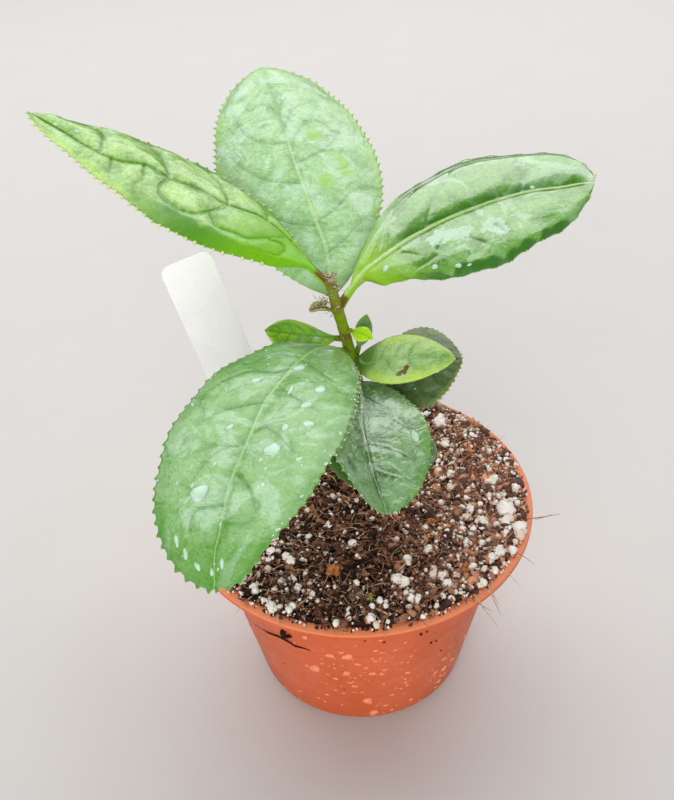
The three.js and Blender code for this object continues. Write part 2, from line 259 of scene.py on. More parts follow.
class StageSettings(bpy.types.PropertyGroup):
    """The photo's camera, soft lights and a pale floor."""
    elevation: angle("Elevation", "How steeply the camera looks down", 38.6)
    roll: angle("Roll", "How far the camera is tilted sideways", -2.5)
    distance: length("Distance", "From the camera to its target", 240)
    target: FloatVectorProperty(
        name="Target", description="What the camera looks at", size=3, subtype="TRANSLATION",
        unit="LENGTH", default=(-4.2 * MM, 0, 88.3 * MM),
    )
    focal_pixels: number("Focal length", "Focal length in pixels of the photo", 1000)
    floor_radius: length("Floor radius", "Radius of the round floor", 4000)
    floor: colour("Floor", "Colour of the floor", 0xCBC8C5)


class TeaPlantSettings(bpy.types.PropertyGroup):
    """The whole potted plant."""
    pot: PointerProperty(type=PotSettings)
    mix: PointerProperty(type=MixSettings)
    stem: PointerProperty(type=StemSettings)
    label: PointerProperty(type=LabelSettings)
    leaves: CollectionProperty(type=LeafSettings)
    water: PointerProperty(type=WaterSettings)
    stage: PointerProperty(type=StageSettings)


def plant():
    """The settings of the plant in the open scene."""
    return bpy.context.scene.tea_plant


# The leaves: lengths in millimetres and angles in degrees. A colour is a screen colour.
LEAVES = {
    "leaf_upper_left": dict(
        height=121.5, azimuth=139, turn=32, rise=28, droop=11, droop_power=0.65, petiole=3,
        length=76, width=34, widest=0.45, base_fullness=1, tip_fullness=0.74,
        roll=17, twist=-15, fold=-4, curl=-9,
        rib=-0.3, quilt=1.1, groove=0.26, pillow=3, vein_width=0.2, wave=0.2, left_roll=1.7,
        left_start=0.72, left_end=0.72, right_roll=1.3, right_start=0.62,
        tooth=0.5, tooth_pitch=2.3, bead=0.48,
        deep=0x5C9800, pale=0xBCE288, midrib=0x3E7A00, vein=0x3E7A00, margin=0xA8D428, base=0x78BC00,
        stalk=0x6E4200,
        margin_share=0.45, base_reach=0.38,
        speckle=0.02, crinkle=0.35, rough=0.2, wetness=0.2, gloss=0.34,
    ),
    "leaf_upper_back": dict(
        height=112, azimuth=104, turn=-1, rise=35, droop=32, droop_power=1.6, petiole=4,
        length=77.4, width=43, widest=0.51, base_fullness=0.75, tip_fullness=0.34,
        roll=-15, twist=10, fold=-6, curl=-29,
        rib=0.25, quilt=0.17, groove=0.05,
        tooth=0.7, tooth_pitch=2.4, bead=0.26,
        deep=0x7CAE68, pale=0xB0D89C, midrib=0xC2E0A0, vein=0x6B9660, margin=0x9CCB60, base=0x93BC74,
        stalk=0x8EA84A,
        vein_share=0.35, rib_share=0.7, rib_end=0.6, margin_share=0.75, margin_start=0.86, base_reach=0.1,
        speckle=0.3, haze=0.5, crinkle=1.2, rough=0.46, wetness=0.1, gloss=0.36,
    ),
    "leaf_upper_right": dict(
        height=116, azimuth=31, turn=-50, rise=54, droop=47, droop_power=0.5, petiole=1.2,
        length=61.1, width=34.5, widest=0.56, base_fullness=0.95, tip_fullness=0.45, right_base=0.12,
        roll=9, twist=6, fold=2, curl=-17,
        rib=0.4, quilt=0.22, groove=0.1, bank=1.9, wave=0.4, right_roll=1.4, right_start=0.92,
        tooth=0.35, tooth_pitch=5, bead=0.2,
        deep=0x3E7A0C, pale=0x86BA60, midrib=0xB8DB7E, vein=0xA4CE8C, margin=0x66A02C, base=0x94C81A,
        stalk=0x6E5400,
        vein_share=0.2, base_reach=0.34, left_shade=0.9, shade_width=2.6,
        haze=0.3, crinkle=0.4, rough=0.26, wetness=1, gloss=0.72,
    ),
    "leaf_front_large": dict(
        height=104, azimuth=242, turn=17, rise=38, droop=62, droop_power=0.8, petiole=3,
        length=79, width=35, widest=0.6, base_fullness=0.45, tip_fullness=0.48,
        roll=-10, twist=30, fold=5, curl=-10,
        rib=0.2, quilt=0.24, groove=0.1, vein_width=0.26, bank=0.3, tip_curl=2.8,
        tooth=0.65, tooth_pitch=2.5, bead=0.18,
        deep=0x549232, pale=0x86B86A, midrib=0x9CCB72, vein=0x2E6A18, margin=0x548E2C, base=0x86B24A,
        stalk=0x6E8A1A,
        vein_share=0.55, margin_share=0.7, base_reach=0.14, right_shade=0.6, shade_width=1,
        speckle=0.2, haze=0.32, crinkle=1, rough=0.36, gloss=0.32,
    ),
    "leaf_front_low": dict(
        height=97, azimuth=272, turn=11, rise=7, droop=41, petiole=3,
        length=37, width=27, widest=0.55, base_fullness=0.6, tip_fullness=0.48,
        roll=-4, twist=-24, fold=17, curl=10,
        rib=0.3, quilt=0.25, groove=-0.22, vein_width=0.24, wave=0.2,
        tooth=0.4, tooth_pitch=1.9,
        # Its whitish veins and midrib are paler veins with a painted highlight on them.
        deep=0x3C6E32, pale=0x90BA78, midrib=0xD4E6CC, vein=0xC8E0C0, margin=0x6AA044, base=0x6B9A54,
        vein_share=0.35, rib_share=0.75, base_reach=0.05,
        speckle=0.1, haze=0.2, crinkle=1.5, rough=0.22, wetness=0.9, gloss=0.85,
    ),
    "leaf_front_under": dict(
        height=90, azimuth=281, turn=-12, rise=6, droop=40, petiole=3,
        length=27, width=28, widest=0.55, tip_fullness=0.7,
        roll=-12, fold=10,
        quilt=0.25, groove=0.1,
        tooth=0.4, tooth_pitch=2, bead=0.1,
        # Its dark colours are painted shade: the leaf lies in the shadow of the front low leaf.
        deep=0x33581F, pale=0x4A7434, midrib=0x5E8A44, vein=0x5E8A44, margin=0x4F7A34, base=0x4F7A34,
        base_reach=0.1,
        rough=0.35, wetness=0.6, gloss=0.5,
    ),
    "leaf_right_spotted": dict(
        height=101, azimuth=335, turn=15, rise=15, droop=11, petiole=0.3,
        length=22.8, width=17.5, widest=0.45, base_fullness=0.5, tip_fullness=0.7,
        roll=6, fold=3, curl=-7,
        rib=0.1, quilt=0.16, groove=0.07, wave=0.15,
        tooth=0.08, tooth_pitch=1.6,
        deep=0x74AC40, pale=0xBCE07C, midrib=0x9AC06C, vein=0x3F6A22, margin=0xC0E458, base=0x528400,
        stalk=0x4E7A00,
        vein_share=0.5, margin_share=1, margin_start=0.35, base_reach=0.24,
        speckle=0.05, crinkle=0.8, rough=0.32, wetness=0.15, gloss=0.32,
    ),
    "leaf_right_back": dict(
        height=97, azimuth=0, turn=-8, rise=13, droop=12, petiole=0.5,
        length=23.4, width=27, widest=0.58, base_fullness=0.75, tip_fullness=0.7,
        roll=5, twist=5, curl=-15,
        quilt=0.2, groove=0.08, wave=0.25,
        tooth=0.35, tooth_pitch=1.4,
        deep=0x485C34, pale=0x647A4A, midrib=0x5E7E48, vein=0x4E6A3C, margin=0x8CA648, base=0x4F7030,
        fleck=0x2A2414,
        margin_share=0.6, base_reach=0.1,
        speckle=0.75, crinkle=1, wetness=0.1, gloss=0.35,
    ),
    "leaf_left_small": dict(
        height=106.5, azimuth=187, turn=-7, rise=15, droop=4, petiole=0.2,
        length=16.8, width=14, widest=0.6, base_fullness=0.6, tip_fullness=0.75,
        roll=1, twist=-4, fold=-1, curl=-16,
        quilt=0.12, groove=0.06, wave=0.12,
        tooth=0.1, tooth_pitch=1.4,
        deep=0x5CA400, pale=0x9CD02C, midrib=0x6E9C30, vein=0x5E9400, margin=0xC0E45C, base=0x5E9410,
        margin_share=1, margin_start=0.55, base_reach=0.1,
        speckle=0.05, rough=0.6, wetness=0, gloss=0.1,
    ),
    "leaf_young_bright": dict(
        height=109, azimuth=326, rise=10, droop=24, petiole=0.2,
        length=5.8, width=4.6,
        roll=26, curl=-8,
        quilt=0.05, groove=0.05, wave=0.05,
        tooth=0, tooth_pitch=1,
        deep=0xA4DC00, pale=0xC0F018, midrib=0x9ACB20, vein=0x9ACB20, margin=0xD4F84A, base=0x9CCC10,
        margin_share=0.6, margin_start=0.4, base_reach=0.2,
        speckle=0, rough=0.6, wetness=0, gloss=0.1,
    ),
    "leaf_young_green": dict(
        height=102, azimuth=40, rise=66, droop=-8, petiole=0.4,
        length=8.4, width=4.8, base_fullness=0.7, tip_fullness=0.7,
        roll=20, curl=-20,
        quilt=0.08, groove=0.08, wave=0.08,
        tooth=0, tooth_pitch=1,
        deep=0x55842A, pale=0x86AC66, midrib=0x8CB068, vein=0x8CB068, margin=0x7FB030, base=0x7FA24A,
        margin_share=0.8, base_reach=0.2,
        speckle=0.15, wetness=0.4, gloss=0.4,
    ),
    "dried_bract": dict(
        height=114.5, azimuth=190, rise=20, droop=34, petiole=0.3,
        length=4.6, width=4.6, base_fullness=0.6, tip_fullness=0.6,
        roll=-14, twist=10, fold=15, curl=60,
        quilt=0.15, groove=0.1, wave=0.35,
        tooth=0.25, tooth_pitch=0.9,
        deep=0x948458, pale=0xC4B68A, midrib=0x7C9A3C, vein=0x5A482C, margin=0x9CB460, base=0x8A9A44,
        base_reach=0.3,
        wetness=0.1, gloss=0.3,
    ),
}

# The veins of the larger leaves: how the midrib wanders off the middle of the blade, then the side veins.
# A point is given in percent: how far along the blade it lies, and how far across, from -100 at the right
# margin to 100 at the left.
VEINS = {
    "leaf_upper_left": (
        ((0, -20), (6, -50), (14, -52), (24, -38), (33, -2), (42, 2), (52, 14), (61, 14), (68, 36),
         (79, 42), (90, 28), (100, 0)),
        ((52, 14), (57, -16), (62, -47), (69, -74), (74, -90)),
        ((33, -2), (38, -32), (44, -56), (54, -78), (60, -94)),
        ((22, -42), (27, -74), (37, -86), (44, -96)),
        ((12, -54), (15, -85), (25, -96)),
        ((74, 39), (76, 5), (78, -31), (82, -52), (90, -58)),
        ((52, 14), (52, 42), (48, 60), (40, 65), (35, 42), (33, -2)),
        ((61, 14), (58, 45), (58, 72), (54, 92)),
        ((34, 40), (29, 58), (24, 52), (20, 50), (17, 20), (15, -10), (14, -50)),
        ((16, 15), (12, 2), (10, 20), (10, 58), (13, 70)),
        ((70, 37), (68, 62), (66, 88)),
    ),
    "leaf_upper_back": (
        ((0, 0), (13, -10), (27, -3), (45, 1), (61, 2), (100, 0)),
        ((25, -5), (29, -35), (35, -60), (36, -92)),
        ((40, 2), (43, 22), (47, 41), (56, 63), (65, 80)),
        ((48, 1), (51, -30), (57, -55), (66, -75)),
        ((53, 1), (60, -10), (66, -34), (62, -52), (53, -40)),
        ((64, 0), (72, -19), (76, -53)),
        ((66, 2), (72, 5), (78, 20), (78, 40), (86, 52)),
        ((72, 0), (80, -10), (88, 8)),
        ((57, 2), (60, 26), (68, 50), (80, 66)),
        ((24, -4), (27, 25), (33, 50), (42, 74)),
        ((14, -10), (17, -40), (24, -74)),
    ),
    "leaf_upper_right": (
        ((0, 0), (12, 0), (21, -8), (50, -10), (78, -8), (92, -10), (100, 0)),
        ((13, -2), (18, 25), (24, 44), (34, 72)),
        ((21, -8), (24, 25), (30, 51), (45, 74)),
        ((37, -9), (42, 13), (48, 41), (55, 74), (62, 84)),
        ((74, -8), (76, 17), (76, 45)),
        ((26, -30), (30, -50)),
        ((36, -62), (27, -78)),
        ((38, -52), (42, -38)),
        ((51, -55), (57, -70)),
        ((63, -50), (66, -68)),
    ),
    "leaf_front_large": (
        ((0, 0), (8, -25), (15, -21), (29, -11), (46, -8), (61, -3), (77, -3), (90, 4), (100, 0)),
        ((29, -11), (33, -30), (35, -58), (42, -81), (48, -87), (54, -68)),
        ((20, -17), (24, -59), (32, -78)),
        ((47, -8), (49, -27), (54, -60), (64, -78)),
        ((63, -3), (65, -26), (72, -47), (79, -56)),
        ((64, -10), (64, -36), (67, -62)),
        ((81, -2), (83, -40), (88, -45)),
        ((59, -3), (57, 8), (60, 30), (66, 58)),
        ((72, -3), (76, 20), (83, 48)),
        ((22, -15), (27, 26), (32, 62)),
        ((38, -10), (43, 18), (50, 66)),
    ),
    "leaf_front_low": (
        ((0, 10), (11, 10), (23, 3), (40, -6), (54, -8), (80, -10), (100, 0)),
        ((29, 0), (33, 22), (39, 45), (50, 70)),
        ((54, -8), (56, 13), (62, 40), (70, 68)),
        ((18, 6), (26, 31), (33, 50)),
        ((70, -10), (76, 15), (83, 70)),
        ((35, -5), (42, -40), (55, -75)),
        ((55, -8), (62, -40), (75, -72)),
    ),
    "leaf_right_spotted": (
        ((0, -40), (10, -40), (19, -20), (29, -4), (45, 1), (100, 0)),
        ((12, -30), (11, 30), (13, 80)),
        ((24, -10), (23, 33), (28, 70)),
        ((38, 0), (39, 30), (44, 60)),
        ((53, 2), (54, 45), (60, 65)),
        ((30, -4), (36, -35), (48, -62)),
        ((52, 0), (60, -40), (70, -60)),
    ),
}

# Marks on the blades: colour, width in millimetres, how blurred they are, and the lines they lie along, with
# points given as in the veins. The pale patches on the upper right leaf are painted sheen; the other marks
# are spots of the leaves' own colour.
MARKS = {
    "leaf_right_spotted": dict(color=0x6A2C06, width=0.85, blur=0.1, lines=(((50, -68), (55, -42)),)),
    "leaf_upper_back": dict(color=0x9ED066, width=1.7, blur=0.4, lines=(
        ((57.5, -30), (59, -32)), ((42, -56), (47, -53)), ((38.5, -29), (40, -28)),
    )),
    # Painted sheen: the pale patches where a film of water mirrors the light.
    "leaf_upper_right": dict(color=0xA6CCA6, width=2.3, blur=0.1, lines=(
        ((39, -34), (50, -42)), ((60, -46), (64, -56)),
    )),
    "leaf_upper_left": dict(color=0xA6E010, width=0.9, blur=0.1, lines=(((30, -97), (36, -97)),)),
}

# What turns a value of the table into one of the property's own unit
IN_OWN_UNIT = {"DISTANCE": lambda value: value * MM, "ANGLE": math.radians, "COLOR": srgb}


def lay_out_leaves():
    """Fills the list of leaves from the table."""
    leaves = plant().leaves
    leaves.clear()
    for node, values in LEAVES.items():
        leaf = leaves.add()
        leaf.name = node
        for key, value in values.items():
            subtype = LeafSettings.__annotations__[key].keywords.get("subtype")
            if subtype in IN_OWN_UNIT:
                value = IN_OWN_UNIT[subtype](value)
            setattr(leaf, key, value)


# Materials

# The colour sockets of a Mix node, whose float and vector sockets have the same names
MIX_A = 6
MIX_B = 7
MIX_RESULT = 2


class Finish:
    """One material's nodes, added by short calls."""

    def __init__(
        self, name, roughness=0.5, coat=0.0, coat_roughness=0.1, specular=0.5, transmission=0.0, ior=1.45,
    ):
        self.material = bpy.data.materials.new(name)
        self.material.use_nodes = True
        self.tree = self.material.node_tree
        self.shader = self.tree.nodes["Principled BSDF"]
        sockets = self.shader.inputs
        sockets["Roughness"].default_value = roughness
        sockets["Coat Weight"].default_value = coat
        sockets["Coat Roughness"].default_value = coat_roughness
        sockets["Specular IOR Level"].default_value = specular
        sockets["Transmission Weight"].default_value = transmission
        sockets["IOR"].default_value = ior
        self.place = self.add("ShaderNodeTexCoord").outputs["Object"]

    def add(self, kind, inputs=None, **properties):
        """Adds a node. inputs maps its sockets to values or to other nodes' outputs."""
        node = self.tree.nodes.new(kind)
        for name, value in properties.items():
            setattr(node, name, value)
        for key, value in (inputs or {}).items():
            self.feed(node.inputs[key], value)
        return node

    def feed(self, socket, value):
        if isinstance(value, bpy.types.NodeSocket):
            self.tree.links.new(value, socket)
        elif socket.type == "RGBA":
            socket.default_value = (*value, 1)
        else:
            socket.default_value = value

    def stretched(self, x, y, z):
        """The object's own coordinates, stretched."""
        return self.add("ShaderNodeMapping", {"Vector": self.place, "Scale": (x, y, z)}).outputs["Vector"]

    def noise(self, scale, detail=3, roughness=0.55, distortion=0.0, at=None):
        node = self.add("ShaderNodeTexNoise", {
            "Vector": at or self.place, "Scale": scale, "Detail": detail, "Roughness": roughness,
            "Distortion": distortion,
        })
        return node.outputs["Fac"]

    def cells(self, scale, feature="DISTANCE_TO_EDGE"):
        node = self.add("ShaderNodeTexVoronoi", {"Vector": self.place, "Scale": scale}, feature=feature)
        return node.outputs["Distance"]

    def attribute(self, name):
        """The three parts of a vector attribute."""
        vector = self.add("ShaderNodeAttribute", attribute_name=name).outputs["Vector"]
        return self.add("ShaderNodeSeparateXYZ", {"Vector": vector}).outputs

    def height(self):
        return self.add("ShaderNodeSeparateXYZ", {"Vector": self.place}).outputs["Z"]

    def band(self, value, low, high, start=0.0, end=1.0):
        """Runs smoothly from start to end as the value goes from low to high."""
        node = self.add("ShaderNodeMapRange", {
            "Value": value, "From Min": low, "From Max": high, "To Min": start, "To Max": end,
        }, interpolation_type="SMOOTHSTEP")
        return node.outputs["Result"]

    def math(self, operation, a, b=0.0):
        return self.add("ShaderNodeMath", {0: a, 1: b}, operation=operation).outputs[0]

    def mix(self, share, a, b):
        node = self.add("ShaderNodeMix", data_type="RGBA")
        for key, value in (("Factor", share), (MIX_A, a), (MIX_B, b)):
            self.feed(node.inputs[key], value)
        return node.outputs[MIX_RESULT]

    def cover(self, colour, roughness=None):
        """Feeds the shader its colour, and its roughness where that isn't even."""
        self.feed(self.shader.inputs["Base Color"], colour)
        if roughness is not None:
            self.feed(self.shader.inputs["Roughness"], roughness)

    def bump(self, height, distance, strength=1.0, under=None):
        inputs = {"Height": height, "Distance": distance, "Strength": strength}
        if under is not None:
            inputs["Normal"] = under
        normal = self.add("ShaderNodeBump", inputs).outputs["Normal"]
        self.feed(self.shader.inputs["Normal"], normal)
        return normal


def scaled(tone, *factors):
    """A colour times one factor, or each part of it times its own."""
    return tuple(min(1, c * s) for c, s in zip(tone, factors * 3 if len(factors) == 1 else factors))


MOULD_RING = 36.2 * MM


def pot_plastic(pot):
    """Moulded terracotta-coloured plastic: satin, finely grained, a little paler and dustier in patches, with
    a painted highlight along the top of the lip and a painted shade line at the moulded ring.
    """
    f = Finish("pot_plastic", roughness=0.45, specular=0.35)
    body = pot.body
    rings = f.noise(900, detail=2, at=f.stretched(0.03, 0.03, 1))
    cloudy = f.noise(45, detail=4)
    faded = tuple(min(1, c * 1.12 + 0.02) for c in body)
    stained = scaled(body, 0.8)
    base = f.mix(f.band(cloudy, 0.35, 0.7), body, faded)
    base = f.mix(f.band(rings, 0.55, 0.75, 0, 0.25), base, stained)
    # Painted shade: a faint darker line at the moulded ring stands for the shade of a small step in the wall.
    ring = f.math("ABSOLUTE", f.math("SUBTRACT", f.height(), MOULD_RING))
    base = f.mix(f.band(ring, 0.1 * MM, 0.7 * MM, 0.35, 0), base, stained)
    # Painted highlight: the top edge of the lip is painted paler.
    lip = f.band(f.height(), pot.height - 0.8 * MM, pot.height - 0.3 * MM, 0, 0.7)
    base = f.mix(lip, base, srgb(0xEE9468))
    low = f.band(f.height(), 2 * MM, 20 * MM, 0.25, 0)
    base = f.mix(f.math("MULTIPLY", low, f.noise(260, detail=4)), base, stained)
    f.cover(base, f.band(f.noise(320), 0.3, 0.7, 0.38, 0.52))
    grain = f.noise(6000, detail=2)
    streaks = f.noise(1400, detail=1, at=f.stretched(1, 1, 0.05))
    f.bump(f.math("ADD", grain, f.math("MULTIPLY", streaks, 0.6)), 0.04 * MM, 0.5)
    return f.material


def peat_finish(name, tone, contrast=0.5, drier=1.0):
    """Moist peat: dark pores, lighter fibre ends, a matt broken surface, and drier and paler to the right."""
    f = Finish(name, specular=0.3)
    shaded = scaled(tone, 1 - contrast)
    lit = scaled(tone, 1 + contrast)
    fine = f.noise(1100, detail=5, roughness=0.7)
    base = f.mix(f.band(fine, 0.35, 0.68), shaded, lit)
    if drier > 1:
        x = f.add("ShaderNodeSeparateXYZ", {"Vector": f.place}).outputs["X"]
        patchy = f.math("ADD", x, f.band(f.noise(90), 0.3, 0.7, -12 * MM, 12 * MM))
        dried = tuple(min(1, c * drier + 0.01) for c in lit)
        base = f.mix(f.band(patchy, 0, 38 * MM, 0, 0.9), base, dried)
    f.cover(base, f.band(f.noise(500), 0.35, 0.7, 0.62, 0.95))
    f.bump(f.noise(2600, detail=5, roughness=0.7), 0.3 * MM, 0.8)
    return f.material


def perlite_finish(name, tone):
    """Perlite: white, foamy, with small pits and faint brown stains."""
    f = Finish(name, specular=0.4)
    pits = f.cells(1700)
    base = f.mix(f.band(f.noise(420, detail=4), 0.45, 0.75), tone, scaled(tone, 0.8, 0.72, 0.62))
    f.cover(base, f.band(pits, 0, 0.3, 0.9, 0.6))
    f.bump(f.math("ADD", pits, f.noise(3200, detail=3)), 0.18 * MM, 0.7)
    return f.material


def label_plastic(label):
    """White label plastic: smooth, faintly marbled, with mud near the mix."""
    f = Finish("label_plastic", coat=0.1, coat_roughness=0.15)
    white = label.white
    soft = f.noise(60, detail=3)
    base = f.mix(f.band(soft, 0.4, 0.7), white, scaled(white, 0.93))
    level = plant().mix.level
    low = f.band(f.height(), level + 1 * MM, level + 9 * MM, 1, 0)
    mud = f.math("MULTIPLY", low, f.band(f.noise(900, detail=5), 0.4, 0.6))
    base = f.mix(mud, base, srgb(0x6E4C38))
    f.cover(base, f.band(f.noise(700, detail=2), 0.35, 0.7, 0.25, 0.42))
    f.bump(f.noise(3000, detail=2), 0.02 * MM, 0.6)
    return f.material


# Where the bark is brown: up to a height at the foot, from a height at the top, and at two nodes
BROWN_FOOT = (62 * MM, 90 * MM)
BROWN_TOP = (119 * MM, 122.5 * MM)
BROWN_NODES = (107.5 * MM, 115.5 * MM)


def bark(stem):
    """Young bark: olive green, brown at the foot and the nodes, with fine long ridges and pale pores."""
    f = Finish("stem_bark", coat=0.2, coat_roughness=0.2)
    z = f.height()
    green = stem.green
    brown = stem.brown
    base = f.mix(f.band(f.noise(350, detail=3), 0.35, 0.7), scaled(green, 0.75), green)
    streaks = f.noise(2600, detail=3, at=f.stretched(1, 1, 0.12))
    foot = f.band(z, *BROWN_FOOT, 1, 0)
    top = f.band(z, *BROWN_TOP)
    nodes = [
        f.band(f.math("ABSOLUTE", f.math("SUBTRACT", z, place)), 0.3 * MM, 1.2 * MM, 0.8, 0)
        for place in BROWN_NODES
    ]
    woody = f.math("MAXIMUM", f.math("MAXIMUM", foot, top), f.math("MAXIMUM", *nodes))
    left_side = f.band(f.noise(500, detail=2, at=f.stretched(1, 1, 0.2)), 0.5, 0.68, 0, 0.4)
    woody = f.math("MAXIMUM", f.math("MULTIPLY", woody, f.band(streaks, 0.25, 0.6, 0.55, 1)), left_side)
    base = f.mix(woody, base, brown)
    pores = f.band(f.cells(700, "F1"), 0.0, 0.16, 0.6, 0)
    base = f.mix(pores, base, srgb(0xB9A77A))
    f.cover(base, f.band(streaks, 0.3, 0.7, 0.35, 0.6))
    f.bump(streaks, 0.12 * MM, 0.6)
    return f.material


def leaf_top(leaf, mark):
    """The upper side of a leaf, under a glossy wax layer: coloured by its veins, margin and base, with
    painted light on its bulges, painted shade in its hollows and rolled margins, and patches of painted
    sheen.
    """
    wet = leaf.wetness
    f = Finish(
        leaf.name + "_top", coat=0.1 + 0.8 * wet, coat_roughness=0.2 - 0.13 * wet, specular=leaf.gloss,
        ior=1.7,
    )
    t, v, marked = f.attribute("blade")
    from_rib, from_vein, bulge = f.attribute("veins")
    dark, stalk, shade = f.attribute("margin")
    deep = leaf.deep
    pale = leaf.pale
    mottle = f.noise(190, detail=5, roughness=0.6, distortion=0.6)
    blotches = f.noise(650, detail=4, roughness=0.65, distortion=1.0)
    # Painted light and shade: the bulges are painted paler and the hollows deeper, with random mottling.
    share = f.math("ADD", f.math("MULTIPLY", bulge, 0.55), f.band(mottle, 0.3, 0.7, -0.1, 0.35))
    share = f.math("ADD", share, f.band(blotches, 0.35, 0.65, -0.12, 0.16))
    base = f.mix(f.band(share, 0.05, 0.9), deep, pale)
    net = f.band(f.cells(620), 0.02, 0.14, 0.25, 0)
    base = f.mix(net, base, deep)
    film = f.noise(150 - 75 * wet, detail=4, roughness=0.55, distortion=1.2)
    # Painted sheen: whitish patches stand for light mirrored by a film of water.
    painted_film_sheen = f.band(film, 0.5, 0.64 - 0.12 * wet, 0, leaf.haze)
    base = f.mix(painted_film_sheen, base, srgb(0xC6E2CA))
    flecks = f.band(f.noise(1500, detail=2), 0.62, 0.7, 0, leaf.speckle)
    base = f.mix(flecks, base, leaf.fleck)
    uneven = f.math("ADD", f.math("ABSOLUTE", v), f.band(mottle, 0.3, 0.7, -0.08, 0.08))
    edge = f.band(uneven, leaf.margin_start, 0.97, 0, leaf.margin_share)
    tip = f.band(t, 0.9, 1, 0, 0.5 * leaf.margin_share)
    base = f.mix(f.math("MAXIMUM", edge, tip), base, leaf.margin)
    # Painted shade: the rolled margins are painted much darker, where they turn away from the light.
    base = f.mix(f.math("MULTIPLY", dark, 0.9), base, scaled(deep, 0.45, 0.8, 0.4))
    base = f.mix(shade, base, scaled(deep, 0.85))
    base = f.mix(f.band(from_vein, 0.25, 1.25, leaf.vein_share, 0), base, leaf.vein)
    near_base = f.band(t, leaf.base_reach * 0.3, leaf.base_reach, 1, 0)
    base = f.mix(near_base, base, leaf.base)
    base = f.mix(f.band(from_rib, 0.3, 1.3, leaf.rib_share, 0), base, leaf.midrib)
    base = f.mix(stalk, base, leaf.stalk)
    # Marks are spots of the leaf's own colour; on the upper right leaf they are patches of painted sheen.
    if mark:
        blotch = f.math("ADD", marked, f.band(f.noise(600, detail=3), 0.3, 0.7, -0.3, 0.3))
        base = f.mix(f.band(blotch, 0.5 - mark["blur"], 0.5 + mark["blur"]), base, srgb(mark["color"]))
    fine = f.noise(2400, detail=3)
    base = f.mix(f.band(fine, 0.35, 0.6, 0.2, 0), base, scaled(deep, 0.6))
    matt = f.math("MULTIPLY", f.math("MAXIMUM", near_base, dark), 0.75)
    f.cover(base, f.math("MAXIMUM", f.band(film, 0.42, 0.58, leaf.rough, 0.6 * leaf.rough), matt))
    skin = f.bump(f.cells(1500), 0.04 * MM, 0.35)
    crumpled = f.bump(f.noise(520, detail=5, roughness=0.6, distortion=0.7), 0.3 * MM, 0.5, under=skin)
    waved = f.noise(230, detail=3, roughness=0.5, distortion=1.0)
    f.bump(waved, 0.9 * MM, 0.6 * leaf.crinkle, under=crumpled)
    return f.material


def leaf_underside(leaf):
    """The lower side of a leaf: paler, matt, with a net of raised veins."""
    f = Finish(leaf.name + "_underside", specular=0.35)
    t = f.attribute("blade")[0]
    from_rib, from_vein, _ = f.attribute("veins")
    green = tuple(0.55 * a + 0.45 * b for a, b in zip(leaf.pale, srgb(0xA8C07C)))
    base = f.mix(f.band(f.noise(230, detail=4), 0.3, 0.7), scaled(green, 0.8), green)
    base = f.mix(f.band(f.cells(620), 0.02, 0.14, 0.25, 0), base, srgb(0xC2D49A))
    veined = f.band(f.math("MINIMUM", from_rib, from_vein), 0.3, 1.4, 0.7, 0)
    base = f.mix(veined, base, srgb(0xC6D68E))
    near_base = f.band(t, leaf.base_reach * 0.3, leaf.base_reach, 1, 0)
    base = f.mix(near_base, base, leaf.base)
    f.cover(base, f.band(f.noise(600), 0.3, 0.7, 0.5, 0.7))
    f.bump(f.cells(1100), 0.08 * MM, 0.5)
    return f.material


def water_finish(name, tint, transmission, edge):
    """Water in the tint of what it lies on, paler as painted sheen, glossy and a little cloudy. Its lower
    edge has
    another tint: paler on the leaves as a painted highlight, darker on the pot as painted shade.
    """
    f = Finish(name, coat=0.5, coat_roughness=0.03, transmission=transmission, ior=1.33)
    haze = f.noise(500, detail=2)
    base = f.mix(f.band(haze, 0.3, 0.7), tint, scaled(tint, 1.15))
    lower = f.attribute("drop")[0]
    # Painted light and shade on the drop's lower edge: a paler edge is a painted highlight, a darker one
    # painted shade.
    base = f.mix(f.band(lower, 0.6, 0.95, 0, 0.9), base, edge)
    f.cover(base, f.band(haze, 0.3, 0.7, 0.03, 0.1))
    f.bump(haze, 0.1 * MM, 0.2)
    return f.material


def floor_finish(stage):
    """A plain pale matt floor."""
    f = Finish("pale_floor", roughness=0.85, specular=0.2)
    tone = stage.floor
    f.cover(f.mix(f.band(f.noise(30, detail=3), 0.3, 0.7), tone, scaled(tone, 0.985)))
    return f.material


# Meshes and pieces

def link(name, mesh, finishes):
    """A new object of a mesh, in the open scene."""
    obj = bpy.data.objects.new(name, mesh)
    bpy.context.scene.collection.objects.link(obj)
    for finish in finishes:
        mesh.materials.append(finish)
    return obj


def piece(name, mesh, finishes, replaced=()):
    """A finished piece that rides on the one body."""
    mesh.shade_smooth()
    obj = link(name, mesh, finishes)
    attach(obj, "root")
    if replaced:
        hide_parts(*replaced)
    return obj


def mesh_of(name, bm):
    """The mesh of a finished bmesh, which is freed."""
    mesh = bpy.data.meshes.new(name)
    bm.to_mesh(mesh)
    bm.free()
    return mesh


def read_points(mesh):
    """The vertices of a mesh as rows of x, y and z."""
    points = np.empty(len(mesh.vertices) * 3)
    mesh.vertices.foreach_get("co", points)
    return points.reshape(-1, 3)


def write_points(mesh, points):
    """Moves the vertices of a mesh to rows of x, y and z."""
    mesh.vertices.foreach_set("co", points.astype(np.float32).ravel())
    mesh.update()


def write_attribute(mesh, name, vectors):
    """Gives each vertex a vector that its finish reads."""
    attribute = mesh.attributes.new(name, "FLOAT_VECTOR", "POINT")
    attribute.data.foreach_set("vector", vectors.astype(np.float32).ravel())


def rounded(bm, geom, offset, segments, affect="EDGES"):
    """Rounds edges, or corners where affect is VERTICES."""
    bmesh.ops.bevel(
        bm, geom=geom, offset=offset, offset_type="OFFSET", segments=segments, profile=0.5, affect=affect,
        clamp_overlap=True, material=-1,
    )


